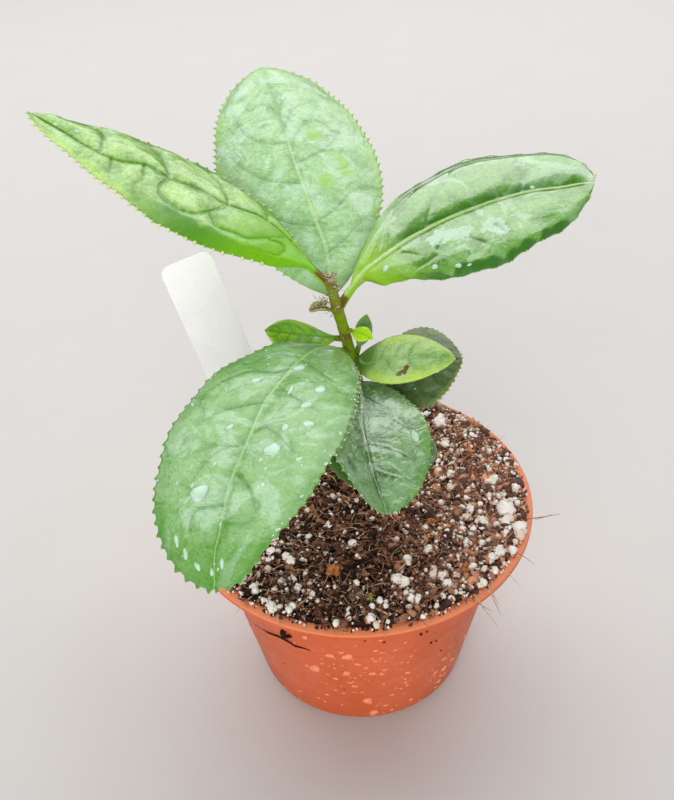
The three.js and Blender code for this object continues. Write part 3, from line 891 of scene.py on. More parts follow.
def turned(profile, steps):
    """A closed mesh turned about Z from a profile of (radius, height) that starts and ends on the axis."""
    bm = bmesh.new()
    corners = [bm.verts.new((radius, 0, height)) for radius, height in profile]
    for a, b in zip(corners, corners[1:]):
        bm.edges.new((a, b))
    bmesh.ops.spin(
        bm, geom=bm.verts[:] + bm.edges[:], cent=(0, 0, 0), axis=(0, 0, 1), angle=2 * math.pi, steps=steps,
        use_merge=True,
    )
    bmesh.ops.remove_doubles(bm, verts=bm.verts, dist=0.0005 * MM)
    bmesh.ops.recalc_face_normals(bm, faces=bm.faces)
    return bm


def joined(name, template, copies, finishes, kinds=0):
    """One piece made of many copies of a template mesh. copies holds each copy's own points, and kinds says
    which of the finishes each copy has."""
    faces = np.array([tuple(p.vertices) for p in template.polygons])
    copies = np.asarray(copies)
    total, corners = copies.shape[:2]
    every = (faces[None] + corners * np.arange(total)[:, None, None]).reshape(-1, faces.shape[1])
    mesh = bpy.data.meshes.new(name)
    mesh.from_pydata(copies.reshape(-1, 3).tolist(), [], every.tolist())
    kinds = np.broadcast_to(kinds, total).astype(np.int32)
    mesh.polygons.foreach_set("material_index", np.repeat(kinds, len(faces)))
    mesh.update()
    return piece(name, mesh, finishes)


def random_turns(rng, total):
    """Random rotations, one matrix each."""
    return np.array([Quaternion(row).normalized().to_matrix() for row in rng.normal(size=(total, 4))])


def tumbled(rng, template, total, stretch=None):
    """Copies of a lump, each turned at random, and stretched before that if a range is given."""
    corners = np.repeat(read_points(template)[None], total, axis=0)
    if stretch:
        corners = corners * rng.uniform(*stretch, (total, 1, 3))
    return np.einsum("nij,nkj->nki", random_turns(rng, total), corners)


def pebble_template(roughness, seed, levels):
    """A small lump of unit radius, of 20 faces at one level, 80 at two and 320 at three."""
    bm = bmesh.new()
    bmesh.ops.create_icosphere(bm, subdivisions=levels, radius=1)
    for vert in bm.verts:
        out = vert.co.normalized()
        vert.co = out * (1 + roughness * noise.noise(out * 1.7 + Vector((seed, 0, 0))))
    return mesh_of("pebble", bm)


# The pot

def pot_profile(pot):
    """Radii and heights from the middle of the underside, round the lip, to the middle of the floor."""
    lip_bottom = pot.height - pot.lip_thickness
    collar_bottom = lip_bottom - pot.collar_height
    mouth = pot.collar_radius - pot.wall
    return [
        (0, 0),
        (pot.foot_radius - 4 * MM, 0),
        (pot.foot_radius - pot.foot_bevel, 0),
        (pot.foot_radius, pot.foot_bevel),
        (pot.wall_radius, collar_bottom - pot.step_height),
        (pot.collar_radius - pot.collar_taper, collar_bottom),
        (pot.collar_radius, lip_bottom),
        (pot.rim_radius, lip_bottom - 0.2 * MM),
        (pot.rim_radius, pot.height),
        (mouth, pot.height),
        (pot.foot_radius - pot.wall, pot.floor),
        (0, pot.floor),
    ]


def build_pot():
    """The turned pot with its ring of drain holes."""
    pot = plant().pot
    bm = turned(pot_profile(pot), 144)
    sharp = [e for e in bm.edges if len(e.link_faces) == 2 and e.calc_face_angle() > math.radians(22)]
    rounded(bm, sharp, pot.edge_bevel, 3)
    body = link("pot_body", mesh_of("pot_body", bm), [])
    drill = bmesh.new()
    for i in range(pot.holes):
        turn = 2 * math.pi * i / pot.holes
        place = Matrix.Translation((pot.hole_ring * math.cos(turn), pot.hole_ring * math.sin(turn), 0))
        bmesh.ops.create_cone(
            drill, cap_ends=True, segments=32, radius1=pot.hole_radius, radius2=pot.hole_radius,
            depth=3 * pot.floor, matrix=place,
        )
    holes = link("drain_holes", mesh_of("drain_holes", drill), [])
    cut = body.modifiers.new("drain holes", "BOOLEAN")
    cut.object = holes
    cut.operation = "DIFFERENCE"
    cut.solver = "EXACT"
    drilled = bpy.data.meshes.new_from_object(body.evaluated_get(bpy.context.evaluated_depsgraph_get()))
    bpy.data.objects.remove(body)
    bpy.data.objects.remove(holes)
    wall = piece("pot_wall", drilled, [pot_plastic(pot)], ["pot"])
    wall.data.set_sharp_from_angle(angle=math.radians(35))
    return wall


# The potting mix

HEAP_AT = (22 * MM, 27 * MM)
FLAT_ROUND_STEM = 5 * MM


def mix_height(x, y):
    """How high the mix's surface lies at a place. It is flat where the stem stands."""
    mix = plant().mix
    stem = plant().stem
    x = np.asarray(x, float)
    y = np.asarray(y, float)
    from_heap = np.hypot(x - HEAP_AT[0], y - HEAP_AT[1])
    heaped = mix.heap_height * np.exp(-0.5 * (from_heap / mix.heap_spread) ** 2)
    wide = np.sin(310 * x + 1.3) * np.sin(270 * y - 0.4)
    narrow = 0.4 * np.sin(700 * x - 500 * y)
    from_stem = np.hypot(x - stem.foot[0], y - stem.foot[1])
    off_stem = smooth(FLAT_ROUND_STEM, 3 * FLAT_ROUND_STEM, from_stem)
    inner = smooth(0, mix.edge_width, mix.edge_radius - np.hypot(x, y))
    raised = (heaped + mix.lump_height * (wide + narrow)) * off_stem * (0.35 + 0.65 * inner)
    return mix.edge_level + (mix.level - mix.edge_level) * inner + raised


def build_mix_bed():
    """The dark body of the mix that the crumbs lie on."""
    mix = plant().mix
    pot = plant().pot
    mouth = pot.collar_radius - pot.wall - 0.5 * MM
    bottom_radius = pot.foot_radius - pot.wall - 0.6 * MM
    bottom = pot.floor + 0.3 * MM
    over_lip = pot.height + 0.15 * MM
    edge = mix.edge_radius - 0.4 * MM
    top = [(edge * share, mix.level) for share in np.linspace(1, 0, 56)]
    profile = [(0, bottom), (bottom_radius, bottom), (mouth, over_lip), (edge, over_lip), *top]
    mesh = mesh_of("mix_bed", turned(profile, 160))
    points = read_points(mesh)
    on_top = points[:, 2] > (over_lip + mix.level) / 2
    x, y = points[on_top, 0], points[on_top, 1]
    rough = np.array([noise.fractal(Vector((a, b, 0)) * 420, 0.6, 2.1, 4) for a, b in zip(x, y)])
    fade = smooth(0, 3 * MM, edge - np.hypot(x, y))
    points[on_top, 2] = mix_height(x, y) - 0.9 * MM * fade + 0.8 * MM * rough * fade
    write_points(mesh, points)
    finish = peat_finish("peat_bed", mix.dark, drier=1.8)
    return piece("mix_bed", mesh, [finish], ["potting_mix"])


def scatter_on_mix(rng, total, reach, crowding=None):
    """Random places on the surface, and on the lip beyond it. crowding says how dense they lie at x and y."""
    mix = plant().mix
    tries = 6 * total
    radius = reach * np.sqrt(rng.random(tries))
    turn = 2 * math.pi * rng.random(tries)
    x, y = radius * np.cos(turn), radius * np.sin(turn)
    if crowding is not None:
        kept = rng.random(tries) < crowding(x, y)
        x, y = x[kept], y[kept]
    x, y = x[:total], y[:total]
    on_lip = np.hypot(x, y) > mix.edge_radius
    return np.stack([x, y, np.where(on_lip, plant().pot.height + 0.3 * MM, mix_height(x, y))], -1)


def away_from_stem(places, clear):
    """Which places lie further from the stem's foot than a distance."""
    foot = plant().stem.foot
    return np.hypot(places[:, 0] - foot[0], places[:, 1] - foot[1]) > clear


def scatter_crumbs():
    """Peat crumbs of four tints."""
    mix = plant().mix
    rng = np.random.default_rng(11)
    template = pebble_template(1.3, 3.1, 1)
    places = scatter_on_mix(rng, mix.crumbs, mix.edge_radius + 0.9 * MM)
    places = places[away_from_stem(places, 2.4 * MM)]
    total = len(places)
    size = np.minimum(rng.gamma(2.0, 0.19, total) * MM + 0.16 * MM, 1.5 * MM)
    on_lip = np.hypot(places[:, 0], places[:, 1]) > mix.edge_radius
    size = np.where(on_lip, np.minimum(size, 0.4 * MM), size)
    copies = tumbled(rng, template, total, (0.45, 1.4)) * size[:, None, None] + places[:, None]
    copies[:, :, 2] += (rng.uniform(-0.7, 0.15, total) * size)[:, None]
    kinds = rng.choice(4, total, p=(0.45, 0.3, 0.16, 0.09))
    finishes = [
        peat_finish("peat_dark", mix.dark, drier=3.5),
        peat_finish("peat_brown", mix.brown, drier=2.4),
        peat_finish("peat_rust", scaled(mix.rust, 0.75), drier=1.8),
        peat_finish("peat_dry", mix.rust, contrast=0.4),
    ]
    return joined("mix_crumbs", template, copies, finishes, kinds)


# The perlite grains that stand out: their place and radius in millimetres.
LARGE_GRAINS = (
    (37.2, -6.5, 2.7), (39.0, -15.8, 1.6), (23.6, 24.8, 2.2), (24.8, 15.7, 1.4), (16.5, -20.8, 1.6),
    (20.2, -31.8, 1.4), (11.7, -35.4, 1.5), (-21.2, -18.2, 1.8), (-17.9, -22.1, 1.3), (-28.6, -27.3, 1.6),
    (-21.6, -36.4, 1.3), (27.4, -32.5, 1.1), (41.2, 8.6, 1.3), (38.1, -11.8, 1.4), (31.3, -12.1, 1.2),
    (-3.7, -40.2, 1.0), (-2.9, -18.5, 1.1), (19.3, -28.2, 1.7), (9.4, -30.5, 1.3), (33.6, -22.6, 1.3),
    (-7.5, -10.6, 1.2), (40.2, -0.5, 1.3), (-26.2, -31.0, 1.2), (24.6, 1.0, 1.1), (28.5, -7.2, 1.2),
    (1.0, -41.0, 1.0), (-20.8, -14.4, 1.2), (36.0, 2.5, 1.3), (-32.0, 12.0, 1.5), (-14.0, 30.0, 1.7),
    (2.0, 36.0, 1.4), (-27.0, 25.0, 1.2), (10.0, 24.0, 1.3), (-36.0, -6.0, 1.6), (-10.0, 12.0, 1.3),
)


def grain_crowding(x, y):
    """The small grains lie densest at the right and at the front left."""
    right = smooth(8 * MM, 30 * MM, x)
    front_left = smooth(6 * MM, 22 * MM, -x) * smooth(10 * MM, 24 * MM, -y)
    return 0.28 + 0.72 * np.maximum(right, front_left)


def scatter_grains():
    """Perlite grains: the large lumpy ones in their places, the small ones strewn."""
    mix = plant().mix
    rng = np.random.default_rng(23)
    large = np.array(LARGE_GRAINS) * MM
    lumps = np.repeat(large, 2, axis=0)
    lumps[:, :2] += rng.normal(0, 0.4, (len(lumps), 2)) * lumps[:, 2:]
    lumps[:, 2] *= rng.uniform(0.6, 1.0, len(lumps))
    large_places = np.column_stack([lumps[:, :2], mix_height(lumps[:, 0], lumps[:, 1])])
    small_places = scatter_on_mix(rng, mix.grains, mix.edge_radius + 0.7 * MM, grain_crowding)
    small_places = small_places[away_from_stem(small_places, 2.2 * MM)]
    small = np.minimum(rng.gamma(1.5, 0.15, len(small_places)) * MM + 0.14 * MM, 1.0 * MM)
    outer = np.hypot(small_places[:, 0], small_places[:, 1]) > mix.edge_radius
    small = np.where(outer, np.minimum(small, 0.35 * MM), small)
    white = mix.white
    finishes = [
        perlite_finish("perlite_white", white), perlite_finish("perlite_cream", scaled(white, 0.9, 0.8, 0.7)),
    ]
    pieces = []
    for name, places, size, levels in (
        ("perlite_lumps", large_places, lumps[:, 2], 3), ("perlite_grains", small_places, small, 1),
    ):
        total = len(places)
        template = pebble_template(0.5, 7.7, levels)
        copies = tumbled(rng, template, total, (0.65, 1.25)) * size[:, None, None] + places[:, None]
        copies[:, :, 2] += (rng.uniform(0.0, 0.4, total) * size)[:, None]
        kinds = rng.choice(2, total, p=(0.72, 0.28))
        pieces.append(joined(name, template, copies, finishes, kinds))
    return pieces


# Bits that lie on the mix: x, y and radius in millimetres, how many times longer than wide, heading in
# degrees, and which finish.
BITS = (
    (-7.0, -27.0, 1.35, 1.1, 30, 0), (24.5, -27.5, 1.1, 1.3, 80, 0), (1.5, -36.0, 0.45, 2.5, 95, 1),
    (0.5, -38.5, 0.3, 9.0, 115, 2), (18.0, -12.0, 0.8, 1.6, 10, 0), (-20.0, 20.0, 1.0, 1.5, 50, 0),
)


def lay_bits():
    """Scraps of bark, a pellet and a twig on the mix."""
    template = pebble_template(0.9, 5.2, 3)
    corners = read_points(template)
    copies = []
    for x, y, radius, stretch, turn, _ in BITS:
        c, s = math.cos(math.radians(turn)), math.sin(math.radians(turn))
        shape = corners * radius * MM
        along = shape[:, 0] * stretch
        height = mix_height(x * MM, y * MM) + (0.3 + 0.3 * radius) * MM
        copies.append(np.column_stack([
            x * MM + along * c - shape[:, 1] * s, y * MM + along * s + shape[:, 1] * c, height + shape[:, 2],
        ]))
    finishes = [
        peat_finish("bark_bit", srgb(0xB06E40), contrast=0.45),
        peat_finish("pellet", srgb(0x9AA038), contrast=0.3),
        peat_finish("twig", srgb(0x5E3C28), contrast=0.4),
    ]
    return joined("mix_bits", template, copies, finishes, [row[-1] for row in BITS])


FIBRE_STEPS = 6


def fibre_template():
    """A three-sided strand along X from 0 to 1, of unit radius."""
    bm = bmesh.new()
    lie = Matrix.Rotation(math.pi / 2, 4, "Y")
    bmesh.ops.create_cone(
        bm, cap_ends=True, cap_tris=True, segments=3, radius1=1, radius2=1, depth=1,
        matrix=Matrix.Translation((0.5, 0, 0)) @ lie,
    )
    long_edges = [e for e in bm.edges if abs(e.verts[0].co.x - e.verts[1].co.x) > 0.5]
    bmesh.ops.subdivide_edges(bm, edges=long_edges, cuts=FIBRE_STEPS - 1)
    bmesh.ops.triangulate(bm, faces=bm.faces)
    return mesh_of("fibre", bm)


def bent_fibres(corners, starts, heading_angle, rise, length_of, radius, sag, sway):
    """Strands that leave their start at an angle, sway sideways and sag. All arguments are arrays."""
    share = corners[None, :, 0]
    taper = 1 - 0.75 * share ** 2
    along = share * length_of[:, None]
    bend = sway[:, None] * share ** 2
    c, s = np.cos(heading_angle)[:, None], np.sin(heading_angle)[:, None]
    side = corners[None, :, 1] * radius[:, None] * taper
    lift = corners[None, :, 2] * radius[:, None] * taper
    x = along * c - (bend + side) * s
    y = along * s + (bend + side) * c
    z = along * np.tan(rise)[:, None] - sag[:, None] * share ** 2 + lift
    return np.stack([x, y, z], -1) + starts[:, None]


def scatter_fibres():
    """Fine peat fibres and roots that lie in and on the mix."""
    mix = plant().mix
    rng = np.random.default_rng(37)
    template = fibre_template()
    corners = read_points(template)
    places = scatter_on_mix(rng, mix.fibres, mix.edge_radius - 2 * MM)
    places = places[away_from_stem(places, 2 * MM)]
    total = len(places)
    long = np.minimum(rng.gamma(2.2, 1.1, total) * MM + 1.0 * MM, 8 * MM)
    heading_angle = rng.uniform(0, 2 * math.pi, total)
    ends = places[:, :2] + long[:, None] * np.stack([np.cos(heading_angle), np.sin(heading_angle)], -1)
    outside = np.hypot(ends[:, 0], ends[:, 1]) > mix.edge_radius
    heading_angle = np.where(outside, heading_angle + math.pi, heading_angle)
    rise = rng.uniform(-0.1, 0.4, total)
    radius = (0.05 + rng.gamma(1.6, 0.035, total)) * MM
    sag = long * np.tan(rise) * rng.uniform(0.7, 1.4, total)
    sway = long * rng.normal(0, 0.6, total)
    places[:, 2] += rng.uniform(-0.2, 0.75, total) * MM
    copies = bent_fibres(corners, places, heading_angle, rise, long, radius, sag, sway)
    kinds = rng.choice(3, total, p=(0.5, 0.32, 0.18))
    finishes = [
        peat_finish("fibre_dark", scaled(mix.brown, 0.6), contrast=0.3, drier=3),
        peat_finish("fibre_rust", mix.rust, contrast=0.3),
        peat_finish("fibre_straw", mix.straw, contrast=0.25),
    ]
    return joined("mix_fibres", template, copies, finishes, kinds)


# Strands over the lip: x and y of the start, heading in degrees, length, radius, sag, sway and which finish.
# The lengths are in millimetres.
LIP_STRANDS = (
    (41.0, -12.0, 2, 9.5, 0.17, 0.3, 0.9, 0), (44.0, -12.2, 8, 6.0, 0.12, 0.2, 1.6, 1),
    (29.2, -32.6, -86, 8, 0.15, 2.4, 1.6, 1), (28.0, -33.2, -45, 6, 0.14, 1.6, -1.2, 1),
    (25.7, -35.5, -72, 9, 0.16, 1.6, 1.4, 1), (-3.5, -40.6, 12, 11, 0.18, 0.1, 1.5, 1),
    (11.5, -40.6, -55, 6.5, 0.14, 1.8, 1.2, 0), (30.5, -30.0, -100, 9, 0.12, 2.0, 1.9, 1),
    (22.0, -36.0, -20, 8, 0.13, 0.6, -1.7, 0), (-38.0, 14.0, 170, 7, 0.14, 0.8, 1.2, 0),
    (8.0, 40.0, 80, 6, 0.14, 1.0, 0.8, 1), (-19.5, -36.4, -101, 7, 0.2, 0.6, 1.2, 1),
    (5.0, -41.0, -110, 4.6, 0.12, 1.9, 0.9, 1), (36.0, -22.0, -30, 7, 0.12, 0.8, -1.5, 0),
    (-26.0, -33.0, -140, 6, 0.14, 0.9, 1.3, 1), (33.5, -26.5, -75, 7, 0.12, 1.4, 1.8, 1),
)

# The dark root on the pot's front left wall: angle from +X in degrees, height and radius in millimetres.
WALL_ROOT = (
    (-142, 33.0, 0.1), (-133, 35.0, 0.25), (-128, 36.9, 0.32), (-123, 37.7, 0.4), (-120, 36.8, 0.4),
    (-118, 35.8, 0.3), (-114, 36.7, 0.2), (-111, 36.2, 0.1),
)

# Flecks of mix that stick to the wall, given in the same way
WALL_FLECKS = (
    (-122.4, 41.5, 1.0), (-121.5, 39.6, 0.8), (-119.8, 40.6, 0.7), (-123.5, 38.4, 0.6), (-68.5, 42.3, 0.45),
    (-65.9, 42.4, 0.3), (-62.5, 35.3, 0.35), (-60.0, 34.8, 0.3), (-90.1, 44.5, 0.25), (-83.0, 43.0, 0.3),
    (-100.0, 18.0, 0.2), (-55.0, 27.0, 0.25), (-130.0, 21.0, 0.2), (20.0, 33.0, 0.3), (110.0, 29.0, 0.3),
)


def wall_radius(height):
    """How far the pot's outer wall is from its middle at a height."""
    pot = plant().pot
    collar = pot.height - pot.lip_thickness - pot.collar_height
    heights = (0, pot.foot_bevel, collar - pot.step_height, collar, pot.height - pot.lip_thickness)
    radii = (
        pot.foot_radius - pot.foot_bevel, pot.foot_radius, pot.wall_radius,
        pot.collar_radius - pot.collar_taper, pot.collar_radius,
    )
    return np.interp(height, heights, radii)


def on_wall(turn, height, out):
    """Points just off the pot's outer wall, at angles from +X and heights."""
    radius = wall_radius(height) + out
    return np.stack([radius * np.cos(turn), radius * np.sin(turn), height + 0 * turn], -1)


def mark_wall():
    """The dark root and the flecks of mix on the pot's wall."""
    mix = plant().mix
    rng = np.random.default_rng(43)
    strand = fibre_template()
    ticks = read_points(strand)
    rows = np.array(WALL_ROOT)
    share = ticks[:, 0] * (len(rows) - 1)
    turn = np.radians(np.interp(share, range(len(rows)), rows[:, 0]))
    height = np.interp(share, range(len(rows)), rows[:, 1]) * MM
    thick = np.interp(share, range(len(rows)), rows[:, 2]) * MM
    root = on_wall(turn, height + ticks[:, 1] * thick, (1 + ticks[:, 2]) * thick * 0.6)
    finish = peat_finish("wall_root", srgb(0x2E1610), contrast=0.3)
    root_piece = joined("wall_root", strand, [root], [finish])
    template = pebble_template(0.9, 9.4, 2)
    rows = np.array(WALL_FLECKS)
    places = on_wall(np.radians(rows[:, 0]), rows[:, 1] * MM, 0.0)
    size = (rows[:, 2] * MM)[:, None, None] * np.array([1, 1, 0.8])
    copies = tumbled(rng, template, len(rows)) * size + places[:, None]
    finish = peat_finish("wall_fleck", mix.dark, contrast=0.4)
    return [root_piece, joined("wall_flecks", template, copies, [finish])]


def drape_strands():
    """The strands over the lip."""
    mix = plant().mix
    rows = np.array(LIP_STRANDS)
    starts = np.column_stack([rows[:, :2] * MM, np.full(len(rows), plant().pot.height + 1.1 * MM)])
    template = fibre_template()
    corners = read_points(template)
    copies = bent_fibres(
        corners, starts, np.radians(rows[:, 2]), np.full(len(rows), 0.05), rows[:, 3] * MM, rows[:, 4] * MM,
        rows[:, 5] * MM, rows[:, 6] * MM,
    )
    finishes = [
        peat_finish("strand_rust", mix.rust, contrast=0.3),
        peat_finish("strand_straw", mix.straw, contrast=0.25),
    ]
    return joined("lip_strands", template, copies, finishes, rows[:, 7])


# The stem

def stem_point(height):
    """The middle of the stem at a height above the pot's underside."""
    stem = plant().stem
    foot, top = np.array(stem.foot), np.array(stem.top)
    t = (np.asarray(height, float) - foot[2]) / (top[2] - foot[2])
    point = foot + (top - foot) * t[..., None]
    point[..., 0] += stem.bow * np.sin(math.pi * np.clip(t, 0, 1))
    return point


BUD_TAPER = 1.5 * MM


def stem_radius(height):
    """How thick the stem is at a height above the pot's underside."""
    stem = plant().stem
    height = np.asarray(height, float)
    t = np.clip((height - stem.foot[2]) / (stem.top[2] - stem.foot[2]), 0, 1)
    radius = stem.foot_radius + (stem.top_radius - stem.foot_radius) * t
    radius = radius + stem.flare * np.exp(-(height - stem.foot[2]) / (2.5 * MM))
    for leaf in plant().leaves:
        swollen = stem.node_swelling * np.exp(-(((height - leaf.height) / (1.6 * MM)) ** 2))
        radius = np.maximum(radius, stem.top_radius + swollen)
    into_bud = np.clip((height - stem.top[2] + BUD_TAPER) / (stem.bud_height + BUD_TAPER), 0, 1)
    return radius * np.sqrt(1 - 0.98 * into_bud)


def build_stem():
    """The stem with its lengthwise ridges of bark."""
    stem = plant().stem
    low = stem.foot[2] - 0.6 * MM
    high = stem.top[2] + stem.bud_height
    heights = np.linspace(low, high, 150)
    profile = [(0, low), *[(1, height) for height in heights], (0, high)]
    mesh = mesh_of("stem_bark", turned(profile, 28))
    points = read_points(mesh)
    height = points[:, 2]
    centre = stem_point(height)
    radius = stem_radius(height)
    turn = np.arctan2(points[:, 1], points[:, 0])
    ridges = np.array([
        noise.fractal(Vector((math.cos(a) * 2.2, math.sin(a) * 2.2, z * 160)), 0.7, 2.0, 3)
        for a, z in zip(turn, height)
    ])
    radius = radius * np.hypot(points[:, 0], points[:, 1]) * (1 + 0.05 * ridges)
    points[:, 0] = centre[:, 0] + radius * np.cos(turn)
    points[:, 1] = centre[:, 1] + radius * np.sin(turn)
    write_points(mesh, points)
    return piece("stem_bark", mesh, [bark(stem)], ["stem"])


# Dry scales and threads: where they cling, as height up the stem, direction and distance from it in
# millimetres, how far they spread there, and how many there are.
DRY_TUFTS = (
    (123.0, 320, 0.9, 1.2, 56), (120.9, 310, 1.4, 0.8, 34), (118.8, 250, 1.2, 0.6, 6),
    (116.6, 187, 2.4, 1.4, 66), (114.0, 200, 1.3, 0.7, 12), (116.0, 300, 1.2, 0.4, 6),
    (107.6, 250, 1.2, 0.5, 5),
)


def build_dry_scraps():
    """Dry bud scales and threads that cling to the top of the stem and over the withered bract."""
    rng = np.random.default_rng(5)
    template = fibre_template()
    corners = read_points(template)
    tufts = np.repeat(np.array(DRY_TUFTS), [row[-1] for row in DRY_TUFTS], axis=0)
    total = len(tufts)
    turn = np.radians(tufts[:, 1])
    middle = stem_point(tufts[:, 0] * MM)
    middle[:, 0] += tufts[:, 2] * MM * np.cos(turn)
    middle[:, 1] += tufts[:, 2] * MM * np.sin(turn)
    starts = middle + rng.normal(0, 0.5, (total, 3)) * tufts[:, 3:4] * MM
    long = rng.uniform(0.4, 1.4, total) * MM
    copies = bent_fibres(
        corners, starts, rng.uniform(0, 2 * math.pi, total), rng.uniform(-0.9, 0.9, total), long,
        rng.uniform(0.05, 0.17, total) * MM, long * rng.uniform(-0.2, 0.3, total),
        long * rng.normal(0, 0.5, total),
    )
    finishes = [
        peat_finish("dry_scale_dark", srgb(0x8A7450), contrast=0.3),
        peat_finish("dry_scale_tan", srgb(0xE2D6B4), contrast=0.3),
        peat_finish("dry_scale_olive", srgb(0xB4B48A), contrast=0.3),
    ]
    kinds = rng.choice(3, total, p=(0.25, 0.5, 0.25))
    return joined("dry_scales", template, copies, finishes, kinds)


# The leaves: the midrib is walked out from the stem in short steps, and the blade hangs on it. BLEND is a
# share of the blade's length, and the rows of faces crowd together beyond TIP_ROWS of the whole leaf.

MIDRIB_STEPS = 60
PETIOLE_CLEARANCE = 0.3 * MM
PETIOLE_WIDTH = 2.2 * MM
PETIOLE_DEPTH = 1.5 * MM
PETIOLE_BLEND = 0.12
PETIOLE_ROOT = 1.0 * MM
TIP_WIDTH = 0.35 * MM
TOOTH_INSET = 0.25 * MM
BLADE_DEPTH = 0.42 * MM
SMALL_BLADE_DEPTH = 0.3 * MM
SMALL_LEAF = 30 * MM
STEP_LENGTH = 0.29 * MM
STRIP_WIDTH = 0.36 * MM
TIP_ROWS = 0.8


def heading(leaf, share):
    """The directions along the midrib, across it and up, at shares of the leaf's reach."""
    share = np.clip(share, 0, 1)
    azimuth = leaf.azimuth + leaf.turn * share
    rise = leaf.rise - leaf.droop * share ** leaf.droop_power
    across = np.stack([-np.sin(azimuth), np.cos(azimuth), 0 * azimuth], -1)
    along = np.stack([np.cos(rise) * np.cos(azimuth), np.cos(rise) * np.sin(azimuth), np.sin(rise)], -1)
    return along, across, np.cross(along, across)


def midrib(leaf, share):
    """Points of the midrib at shares of the leaf's reach. Below 0 they lie in the stem."""
    reach = leaf.petiole + leaf.length
    clear = stem_radius(leaf.height) + PETIOLE_CLEARANCE + PETIOLE_DEPTH / 2 * math.sin(leaf.rise)
    out = np.array([math.cos(leaf.azimuth), math.sin(leaf.azimuth), 0])
    foot = stem_point(leaf.height) + out * clear
    middles = (np.arange(MIDRIB_STEPS) + 0.5) / MIDRIB_STEPS
    walked = np.cumsum(heading(leaf, middles)[0] * reach / MIDRIB_STEPS, axis=0)
    line = foot + np.vstack([np.zeros(3), walked])
    ticks = np.arange(MIDRIB_STEPS + 1) / MIDRIB_STEPS
    points = np.stack([np.interp(share, ticks, line[:, k]) for k in range(3)], -1)
    behind = np.minimum(share, 0)[..., None] * reach
    return points + behind * heading(leaf, 0 * share)[0]


def half_width(leaf, t):
    """Half the blade's width at t, which runs from 0 at its base to 1 at its tip."""
    power = math.log(0.5) / math.log(leaf.widest)
    fullness = leaf.base_fullness + (leaf.tip_fullness - leaf.base_fullness) * smooth(0, 1, t)
    return leaf.width / 2 * np.maximum(np.sin(math.pi * t ** power), 0) ** fullness


def section(leaf, v):
    """How far out and how high a point of the blade lies that is at v, from -1 to 1, across it."""
    curl = leaf.curl or 1e-6
    q = np.abs(v)
    out = np.sign(v) * (np.sin(leaf.fold + curl * q) - math.sin(leaf.fold)) / curl
    lift = (math.cos(leaf.fold) - np.cos(leaf.fold + curl * q)) / curl
    return out, lift


def in_shares(line):
    """A line of (t, v) from one in percent."""
    return np.array(line) / 100


def vein_lines(leaf, rng):
    """The midrib and the side veins as lines of (t, v). A leaf that isn't in VEINS gets them by a rule, in
    which a side vein sweeps forward and loops back."""
    if leaf.name in VEINS:
        return [in_shares(line) for line in VEINS[leaf.name]]
    lines = [((0, 0), (0.5, 0.01), (1, 0))]
    for side in (-1, 1):
        start = 0.12 if side < 0 else 0.17
        while start < 0.85:
            lines.append((
                (start, 0), (start + 0.05, 0.35 * side), (start + 0.12, 0.65 * side),
                (start + 0.24, 0.8 * side),
            ))
            start += rng.uniform(0.14, 0.19)
    return lines


def smooth_line(line, steps=6):
    """A curve through the points of a line."""
    points = np.array(line, float)
    ends = np.vstack([2 * points[0] - points[1], points, 2 * points[-1] - points[-2]])
    share = (np.arange(steps) / steps)[:, None]
    curve = []
    for a, b, c, d in zip(ends, ends[1:], ends[2:], ends[3:]):
        curve.append(0.5 * (
            2 * b + (c - a) * share + (2 * a - 5 * b + 4 * c - d) * share ** 2
            + (3 * b - a - 3 * c + d) * share ** 3
        ))
    return np.vstack([*curve, points[-1]])


def flat_distance(leaf, line, x, y):
    """How far points of the flat blade lie from a line of (t, v), how far along it, and on which side."""
    t, v = np.array(line, float).T
    t = np.clip(t, 0, 1)
    px, py = t * leaf.length, v * half_width(leaf, t)
    nearest = np.full(x.shape, 1.0)
    place = np.zeros(x.shape)
    side = np.zeros(x.shape)
    for i in range(len(px) - 1):
        dx, dy = px[i + 1] - px[i], py[i + 1] - py[i]
        squared = dx * dx + dy * dy
        if squared == 0:
            continue
        s = np.clip(((x - px[i]) * dx + (y - py[i]) * dy) / squared, 0, 1)
        off_x, off_y = x - px[i] - s * dx, y - py[i] - s * dy
        gap = np.hypot(off_x, off_y)
        nearer = gap < nearest
        place = np.where(nearer, (i + s) / (len(px) - 1), place)
        side = np.where(nearer, np.sign(dx * off_y - dy * off_x), side)
        nearest = np.minimum(nearest, gap)
    return nearest, place, side


def leaf_slab(strips, steps):
    """A slab of unit length and thickness: x from 0 to 1 along the leaf, y from -1 to 1 across it."""
    bm = bmesh.new()
    bmesh.ops.create_grid(bm, x_segments=steps, y_segments=strips, size=1)
    bmesh.ops.solidify(bm, geom=bm.verts[:] + bm.edges[:] + bm.faces[:], thickness=1)
    bmesh.ops.recalc_face_normals(bm, faces=bm.faces)
    middle = sum(v.co.z for v in bm.verts) / len(bm.verts)
    for vert in bm.verts:
        vert.co = ((vert.co.x + 1) / 2, vert.co.y, 1 if vert.co.z > middle else -1)
    for face in bm.faces:
        face.material_index = 0 if face.calc_center_median().z > 0.5 else 1
    return bm


